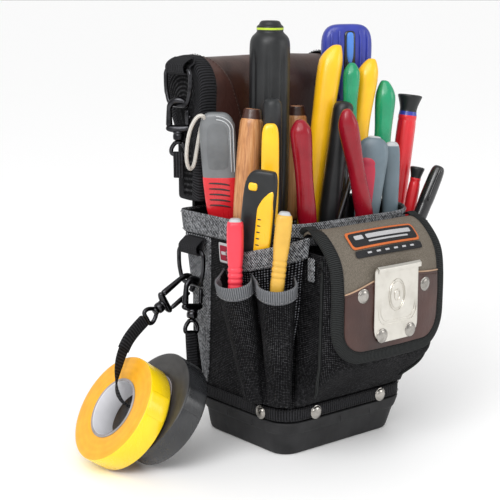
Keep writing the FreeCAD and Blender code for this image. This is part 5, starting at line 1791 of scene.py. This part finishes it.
def capped_driver():
    """Red driver with a flared black cap and a blue ring."""
    top = (97.0, -20.0, 255.0)
    low = (86.2, -18.6, 176.0)
    rings = [(0.0, 6.0, 6.0, 1), (0.2, 9.0, 9.0, 1), (1.2, 9.7, 9.7, 1), (2.2, 9.3, 9.3, 1),
             (8.0, 7.2, 7.2, 1), (12.5, 6.4, 6.4, 1), (13.0, 6.8, 6.8, 2), (15.2, 6.9, 6.9, 2),
             (15.8, 7.2, 7.2, 0), (19.0, 7.4, 7.4, 0), (19.8, 6.9, 6.9, 0),
             (21.0, 7.3, 7.3, 0, 0, 0, 6, 0.08)]
    rings += [(21.0 + 8 * k, 7.4, 7.4, 0, 0, 0, 6, 0.1) for k in range(1, 10)]
    rings += [(101.0, 6.4, 6.4, 0), (105.0, 4.0, 4.0, 0)]
    tool("capped_driver", limb("capped_driver_grip", top, low, rings, count=48, levels=1),
         [BRIGHT_RED, BLACK_PLASTIC, BLUE])
    shaft("capped_driver", top, low, 104.0, 104.0, 2.3)


def small_red_driver():
    """Small red driver with a flared black cap."""
    top = (91.5, -35.0, 200.0)
    low = (85.2, -32.6, 163.0)
    rings = [(0.0, 3.4, 3.4, 1), (0.2, 5.4, 5.4, 1), (1.2, 5.9, 5.9, 1), (4.6, 4.8, 4.8, 1),
             (8.0, 4.0, 4.0, 1), (8.5, 4.0, 4.0, 0), (10.0, 4.3, 4.3, 0), (10.6, 3.9, 3.9, 0),
             (12.4, 3.9, 3.9, 0), (13.0, 4.4, 4.4, 0), (24.0, 4.9, 4.9, 0), (48.0, 4.6, 4.6, 0),
             (51.0, 3.0, 3.0, 0)]
    tool("small_red_driver", limb("small_red_driver_grip", top, low, rings, count=32, levels=1),
         [BRIGHT_RED, BLACK_PLASTIC])
    shaft("small_red_driver", top, low, 50.0, 112.0, 1.9)


def marker():
    """Black marker with a domed cap end and a sprung clip."""
    top = (100.0, -50.0, 201.5)
    low = (82.4, -45.0, 160.0)
    rings = [(0.0, 1.8, 1.8, 0), (0.6, 3.8, 3.8, 0), (2.4, 4.8, 4.8, 0), (6.0, 5.7, 5.7, 0),
             (30.0, 6.0, 6.0, 0), (31.0, 5.5, 5.5, 0), (32.0, 5.7, 5.7, 0), (56.0, 5.4, 5.4, 0),
             (59.0, 3.4, 3.4, 0)]
    tool("marker", limb("marker_barrel", top, low, rings, count=32, levels=1),
         [BLACK_GLOSS, LIGHT_GREY_AND_BEVEL_HIGHLIGHT])
    way = (vec(low) - vec(top)).normalized()
    side, depth = frame_of(way, VIEW_ACROSS)
    out = -depth if depth.y > 0 else depth
    points = [vec(top) + way * t + out * d + side * 1.0
              for t, d in ((2.0, 4.0), (2.5, 6.0), (5.0, 6.7), (14.0, 6.4), (26.0, 6.2), (28.5, 5.4))]
    extra("marker", tube("marker_clip", curve_through(points, 4), 1.1, 10, 1, flat=0.6, across=side),
          "black_plastic", [BLACK_GLOSS])
    shaft("marker", top, low, 58.0, 132.0, 2.2, BLACK_PLASTIC)


def slim_pen(name, top, low, radius, colour):
    """Slim ribbed pen handle: square shoulders, clear end and grip ridges."""
    r = radius
    rings = [(0.0, r * 0.4, r * 0.4, 1), (0.4, r * 0.6, r * 0.6, 1), (1.6, r * 0.68, r * 0.68, 1),
             (2.2, r * 0.72, r * 0.72, 0), (2.6, r * 0.94, r * 0.94, 0), (7.0, r, r, 0),
             (27.0, r * 0.97, r * 0.97, 0), (29.0, r * 0.88, r * 0.88, 0)]
    for k in range(4):
        start = 33.0 + 4.0 * k
        rings += [(start, r * 0.88, r * 0.88, 0), (start + 0.7, r * 0.8, r * 0.8, 0),
                  (start + 1.6, r * 0.8, r * 0.8, 0), (start + 2.3, r * 0.88, r * 0.88, 0)]
    rings += [(54.0, r * 0.86, r * 0.86, 0), (60.0, r * 0.7, r * 0.7, 0), (61.5, r * 0.4, r * 0.4, 0)]
    tool(name, limb(name + "_barrel", top, low, rings, VIEW_ACROSS, 32, 3.0, 1),
         [colour, LIGHT_GREY_AND_BEVEL_HIGHLIGHT])
    shaft(name, top, low, 61.0, 108.0, 2.2)


def blue_stripper():
    """Blue wire stripper head: square-shouldered shell with ridges, a dark slot and a sky-blue insert."""
    top = (50.6, 4.6, 309.5)
    low = (51.4, 5.0, 250.0)
    across = (0.92, -0.39, 0.0)
    rings = [(0.0, 7.0, 2.6, 0), (0.5, 11.5, 4.6, 0), (2.2, 15.4, 6.2, 0), (6.0, 18.6, 7.1, 0),
             (12.0, 20.2, 7.5, 0), (20.0, 20.3, 7.5, 0), (34.0, 19.8, 7.3, 0), (50.0, 18.8, 7.0, 0),
             (84.0, 17.0, 6.4, 0), (88.0, 12.0, 4.0, 0)]
    tool("blue_stripper", limb("blue_stripper_shell", top, low, rings, across, 40, 2.9, 1),
         [BLUE])
    way = (vec(low) - vec(top)).normalized()
    side, depth = frame_of(way, across)
    face = depth if depth.y < 0 else -depth
    for tag, out, half, start, end, material in (("slot", 6.1, 5.0, 5.0, 70.0, BLACK_GLOSS),
                                                 ("insert", 7.2, 3.0, 6.0, 30.0, SKY),
                                                 ("needle", 7.2, 1.0, 32.0, 62.0, SKY)):
        spot = vec(top) + face * out
        rings = [(start, half * 0.5, 1.2, 0), (start + 1.0, half * 0.9, 2.2, 0), (start + 4.0, half, 2.5, 0),
                 (end - 4.0, half, 2.5, 0), (end, half * 0.4, 1.2, 0)]
        piece = limb("blue_stripper_" + tag, spot, spot + way * 60, rings, across, 24, 3.0, 1)
        extra("blue_stripper", piece, "blue_plastic", [material])
    for index, reach in enumerate((-14.6, -8.6, 8.6, 14.6)):
        near = 6.9 if abs(reach) < 10 else 5.8
        line = [vec(top) + way * t + side * (reach * w) + face * (near + d)
                for t, w, d in ((5.0, 0.92, -0.8), (9.0, 0.98, 0.3), (16.0, 1.0, 0.8), (34.0, 0.99, 0.7),
                                (56.0, 0.95, 0.3))]
        ridge = tube("blue_stripper_ridge_%d" % index, curve_through(line, 5), 0.9, 8, 0)
        extra("blue_stripper", ridge, "blue_plastic", [BLUE])
    shaft("blue_stripper", top, low, 87.0, 60.0, 3.0)


def flat_grip(name, top, low, across, tip, rings, materials, power=3.0):
    """Flat moulded handle from its ring table, with a shaft."""
    tool(name, limb(name + "_grip", top, low, rings, across, 36, power, 1), materials)
    shaft(name, top, low, rings[-1][0] - 1.0, tip, 2.3)


def inset_driver():
    """Grey driver with a soft red inset and an end button."""
    top = (42.4, -36.0, 227.5)
    low = (37.2, -36.0, 186.0)
    rings = [(0.0, 3.0, 2.0, 1), (0.4, 4.6, 3.2, 1), (1.4, 5.0, 3.6, 0), (1.8, 6.4, 4.4, 0),
             (4.5, 10.0, 5.8, 0), (9.0, 11.8, 6.5, 0), (18.0, 12.0, 6.5, 0), (34.0, 10.6, 6.2, 0),
             (64.0, 9.6, 6.0, 0), (70.0, 6.0, 4.4, 0)]
    flat_grip("inset_driver", top, low, VIEW_ACROSS, 60.0, rings, [STEEL_BLUE, LIGHT_GREY_AND_BEVEL_HIGHLIGHT],
              2.3)
    way = (vec(low) - vec(top)).normalized()
    side, depth = frame_of(way, VIEW_ACROSS)
    face = depth if depth.y < 0 else -depth
    start = vec(top) + face * 3.4 - side * 2.4
    rings = [(15.0, 3.6, 2.0, 0), (16.5, 6.4, 3.2, 0), (21.0, 7.6, 3.8, 0), (22.0, 7.0, 3.3, 0),
             (23.5, 7.6, 3.8, 0), (38.0, 7.2, 3.7, 0), (64.0, 6.6, 3.4, 0), (68.0, 4.0, 2.0, 0)]
    insert = limb("inset_driver_inset", start, start + way * 40, rings, VIEW_ACROSS, 28, 2.2, 1)
    extra("inset_driver", insert, "red_plastic", [ROSE])


def folding_saw():
    """Folding saw: rounded grey frame with light grey lines along its bevel painted as highlight, red lower
    grip.
    """
    top = (-71.6, 8.0, 248.5)
    low = (-62.6, 15.4, 186.0)
    across = (0.7, -0.714, 0.0)
    rings = [(0.0, 4.4, 1.8, 0, -2.2), (0.5, 7.4, 3.0, 0, -2.0), (3.0, 10.6, 4.2, 0, -1.8),
             (8.0, 12.6, 4.6, 0, -1.6), (16.0, 13.4, 4.8, 0, -1.4), (34.0, 13.2, 4.8, 0, -1.0),
             (47.0, 12.8, 4.8, 0, -0.8), (48.0, 12.8, 4.8, 1, -0.8), (48.6, 13.2, 4.9, 1, -0.8),
             (64.0, 12.6, 4.9, 1, -0.4), (84.0, 11.0, 4.6, 1), (88.0, 6.0, 2.4, 1)]
    tool("folding_saw", limb("folding_saw_frame", top, low, rings, across, 40, 3.2, 1),
         [GREY, BRIGHT_RED])
    way = (vec(low) - vec(top)).normalized()
    side, depth = frame_of(way, across)
    # Painted highlight: light grey lines along both faces' bevels stand in for the light caught on the
    # frame's edge.
    for index, (inset, push) in enumerate(((1.2, 3.9), (3.4, 4.45))):
        for face in (-1, 1):
            line = []
            for k in range(15):
                angle = math.radians(-10 + 100 * k / 14)
                reach = 13.2 - inset
                line.append(vec(top) + way * (12.4 - (11.6 - inset) * math.sin(angle))
                            + side * (reach * math.cos(angle) - 1.4) + depth * (face * push))
            line = [line[0] + way * 30, line[0] + way * 16] + line
            extra("folding_saw", tube("folding_saw_bevel_%d_%d" % (index, face > 0), line, 0.5, 8, 1),
                  "grey_plastic", [LIGHT_GREY_AND_BEVEL_HIGHLIGHT])
    for face in (-1, 1):
        spot = vec(top) + depth * (face * 3.4) - side * 1.2
        rings = [(6.0, 3.0, 0.8, 0), (7.5, 6.6, 1.4, 0), (12.0, 8.8, 1.7, 0), (44.0, 9.0, 1.7, 0),
                 (46.0, 7.0, 0.8, 0)]
        panel = limb("folding_saw_panel_%d" % (face > 0), spot, spot + way * 40, rings, across, 28, 3.2, 1)
        extra("folding_saw", panel, "grey_plastic", [DARK_GREY])
    for k in range(5):
        spot = vec(top) + way * (52.0 + k * 4.2) + depth * 4.9
        notch = tube("folding_saw_notch_%d" % k, [spot - side * 9.0, spot, spot + side * 6.5 + way * 1.5],
                     [0.5, 0.8, 0.5], 8, 1)
        extra("folding_saw", notch, "black_plastic", [BLACK_PLASTIC])
    shaft("folding_saw", top, low, 87.0, 110.0, 3.0)


def utility_knife():
    """Snap-blade knife: black head and spine, yellow body, slider and blade lock."""
    top = (-78.4, -48.8, 213.5)
    low = (-78.0, -41.2, 160.0)
    across = (0.5, -0.866, 0.0)
    rings = [(0.0, 5.0, 2.0, 0, 3.6), (0.4, 7.4, 3.0, 0, 2.6), (3.0, 9.8, 3.8, 0, 1.4),
             (9.0, 11.6, 4.1, 0, 0.4), (20.0, 12.0, 4.2, 0), (40.0, 12.0, 4.2, 0), (76.0, 11.2, 4.0, 0),
             (79.0, 6.0, 2.4, 0)]
    tool("utility_knife", limb("utility_knife_body", top, low, rings, across, 36, 3.6, 1),
         [BLACK_PLASTIC])
    way = (vec(low) - vec(top)).normalized()
    side, depth = frame_of(way, across)
    face = depth if depth.dot(Vector((-0.624, -0.757, 0.1))) > 0 else -depth
    right = side if side.dot(Vector((0.772, -0.636, 0))) > 0 else -side
    start = vec(top) + face * 2.4 + right * 5.4
    rings = [(13.0, 1.0, 1.2, 0, 4.0), (16.0, 2.6, 2.0, 0, 3.0), (20.0, 4.4, 2.1, 0, 1.0),
             (26.0, 5.9, 2.2, 0), (27.0, 6.3, 2.2, 0), (45.0, 6.3, 2.2, 0), (76.0, 5.8, 2.2, 0),
             (78.0, 4.0, 1.0, 0)]
    panel = limb("utility_knife_panel", start, start + way * 50, rings, right, 28, 3.6, 1)
    extra("utility_knife", panel, "yellow_grip", [YELLOW])
    rest = vec(top) + face * 3.4 - right * 4.2
    rings = [(9.0, 2.0, 1.0, 0), (9.5, 3.4, 1.7, 0), (14.0, 3.5, 1.8, 0), (14.6, 2.0, 1.0, 0)]
    slider = limb("utility_knife_slider", rest, rest + way * 20, rings, across, 20, 4.0, 1)
    extra("utility_knife", slider, "yellow_grip", [YELLOW])
    for k in range(6):
        spot = vec(top) + way * (34.0 + k * 4.6) + face * 4.35 + right * 2.6
        notch = tube("utility_knife_notch_%d" % k, [spot - right * 1.4, spot, spot + right * 1.4],
                     [0.5, 0.6, 0.5], 8, 1)
        extra("utility_knife", notch, "black_plastic", [BLACK_PLASTIC])
    shaft("utility_knife", top, low, 78.0, 124.0, 2.2)


def bowed_handle(name, tag, top, low, radius, colour, lean, nose, first, hidden):
    """Dipped pliers handle: bevelled nose leaning to one side, slimmer waist, round foot."""
    length = (vec(low) - vec(top)).length + hidden
    r = radius
    rings = []
    for share, size in ((0.0, 0.2), (0.05, 0.36), (0.16, 0.5), (0.4, 0.72), (0.7, 0.91), (1.0, 1.0)):
        rings.append((nose * share, r * size, r * PLIERS_FLAT * size, 0, lean * r * (1 - size)))
    steps = 7
    for k in range(1, steps):
        share = k / steps
        size = 1.0 - 0.16 * math.sin(math.pi * share) ** 2 - 0.08 * share
        rings.append((nose + (length - nose - 6.0) * share, r * size, r * size * PLIERS_FLAT, 0))
    rings += [(length - 4, r * 0.86, r * 0.86 * PLIERS_FLAT, 0),
              (length - 1.5, r * 0.62, r * 0.62 * PLIERS_FLAT, 0),
              (length, r * 0.35, r * 0.35 * PLIERS_FLAT, 0)]
    obj = limb(name + "_" + tag, top, low, rings, VIEW_ACROSS, 28, 2.2, 1)
    settle(obj, name + "_body", [colour], ["tool_" + name] if first else [])
    return vec(low) + (vec(low) - vec(top)).normalized() * (hidden - 2.0)


def pliers(name, handles, pivot, tip, colour, hidden=HIDDEN):
    """Pair of closed pliers: two dipped grips, their shanks, the pivot and the jaws."""
    feet = []
    for index, (top, low, radius, lean, nose) in enumerate(handles):
        feet.append(bowed_handle(name, "grip_%d" % index, top, low, radius, colour, lean, nose, index == 0,
                                 hidden))
    for index, foot in enumerate(feet):
        middle = foot.lerp(vec(pivot), 0.5)
        arm = tube(name + "_arm_%d" % index, curve_through([foot, middle, vec(pivot)], 5), 2.4, 12, 0)
        extra(name, arm, "clip_steel", [SHAFT])
    boss = lathe(name + "_pivot", (pivot[0], pivot[1] - 3.4, pivot[2]), (0, 1, 0),
                 [(0.4, 0), (3.0, 0), (3.4, 0.5), (6.6, 0.7), (7.0, 1.2), (7.0, 6.2), (6.6, 6.7), (0.4, 6.8)],
                 32)
    extra(name, boss, "clip_steel", [SHAFT])
    way = (vec(tip) - vec(pivot)).length
    jaws = limb(name + "_jaws", pivot, tip, [(0, 4.8, 4.6, 0), (12, 4.6, 4.2, 0), (way * 0.6, 3.4, 3.0, 0),
                                             (way - 1, 2.4, 2.0, 0), (way, 1.2, 1.0, 0)], count=20, levels=1)
    extra(name, jaws, "clip_steel", [SHAFT])


def all_tools():
    """Every tool in the pouch."""
    fluted_driver()
    plain_grip("black_grip_left", (-48.4, -24.0, 259.5), (-47.2, -24.0, 199.0), 6.9, 60.0, [CHARCOAL])
    plain_grip("black_grip_right", (20.7, -25.4, 254.0), (9.2, -25.0, 186.0), 7.8, 60.0, [BLACK_PLASTIC])
    wood_chisel("wood_chisel_left", (-53.0, -8.0, 251.5), (-60.2, -8.6, 191.0), 8.8, 140.0)
    wood_chisel("wood_chisel_right", (6.0, 12.0, 249.5), (4.0, 12.0, 193.0), 9.2, 60.0)
    capped_driver()
    small_red_driver()
    marker()
    slim_pen("slim_red", (-95.2, -40.0, 180.6), (-95.2, -40.0, 133.0), 6.0, PINK_RED)
    slim_pen("slim_yellow", (-75.6, -69.6, 187.0), (-79.2, -66.6, 139.0), 5.8, PALE_YELLOW)
    blue_stripper()
    inset_driver()
    slab = [(0.0, 2.4, 1.6, 1), (0.4, 3.8, 2.6, 1), (2.6, 5.4, 3.6, 0), (7.0, 6.4, 3.9, 0),
            (30.0, 6.6, 3.9, 0), (64.0, 6.0, 3.8, 0), (67.0, 3.6, 2.4, 0)]
    flat_grip("grey_slab", (59.8, -37.4, 222.0), (60.0, -36.6, 186.0), VIEW_ACROSS, 140.0, slab,
              [STEEL_BLUE, LIGHT_GREY_AND_BEVEL_HIGHLIGHT])
    folding_saw()
    flat = [(0.0, 2.0, 1.2, 0), (0.4, 3.6, 2.2, 0), (3.0, 5.4, 3.3, 0), (9.0, 6.2, 3.7, 0),
            (34.0, 6.4, 3.7, 0), (76.0, 5.8, 3.6, 0), (80.0, 3.6, 2.2, 0)]
    flat_grip("flat_yellow", (-60.2, -36.0, 243.2), (-60.6, -36.0, 190.0), VIEW_ACROSS, 126.0, flat,
              [YELLOW])
    utility_knife()
    pliers("yellow_pliers", [((26.6, -6.0, 295.0), (4.6, -6.0, 172.0), 9.4, RIGHT_LEAN, 15.0),
                             ((56.9, -14.8, 284.0), (47.4, -14.6, 227.0), 8.4, RIGHT_LEAN * 0.6, 13.0)],
           (15.0, -9.0, 122.0), (2.0, -6.0, 60.0), YELLOW)
    pliers("green_pliers", [((36.4, -16.8, 281.4), (34.6, -17.2, 250.0), 6.6, 0.0, 9.0),
                            ((70.3, -20.0, 267.0), (66.6, -20.0, 216.0), 8.0, -RIGHT_LEAN * 0.5, 13.0)],
           (46.0, -27.0, 122.0), (44.0, -21.0, 60.0), GREEN)
    pliers("red_pliers", [((-36.3, -40.0, 244.7), (-30.5, -40.6, 186.0), 7.9, 0.0, 9.0),
                          ((-0.1, -48.0, 250.5), (18.0, -47.4, 186.0), 7.6, RIGHT_LEAN * 0.3, 13.0)],
           (-6.0, -38.0, 112.0), (-5.0, -34.0, 60.0), RED, 23.0)


all_tools()
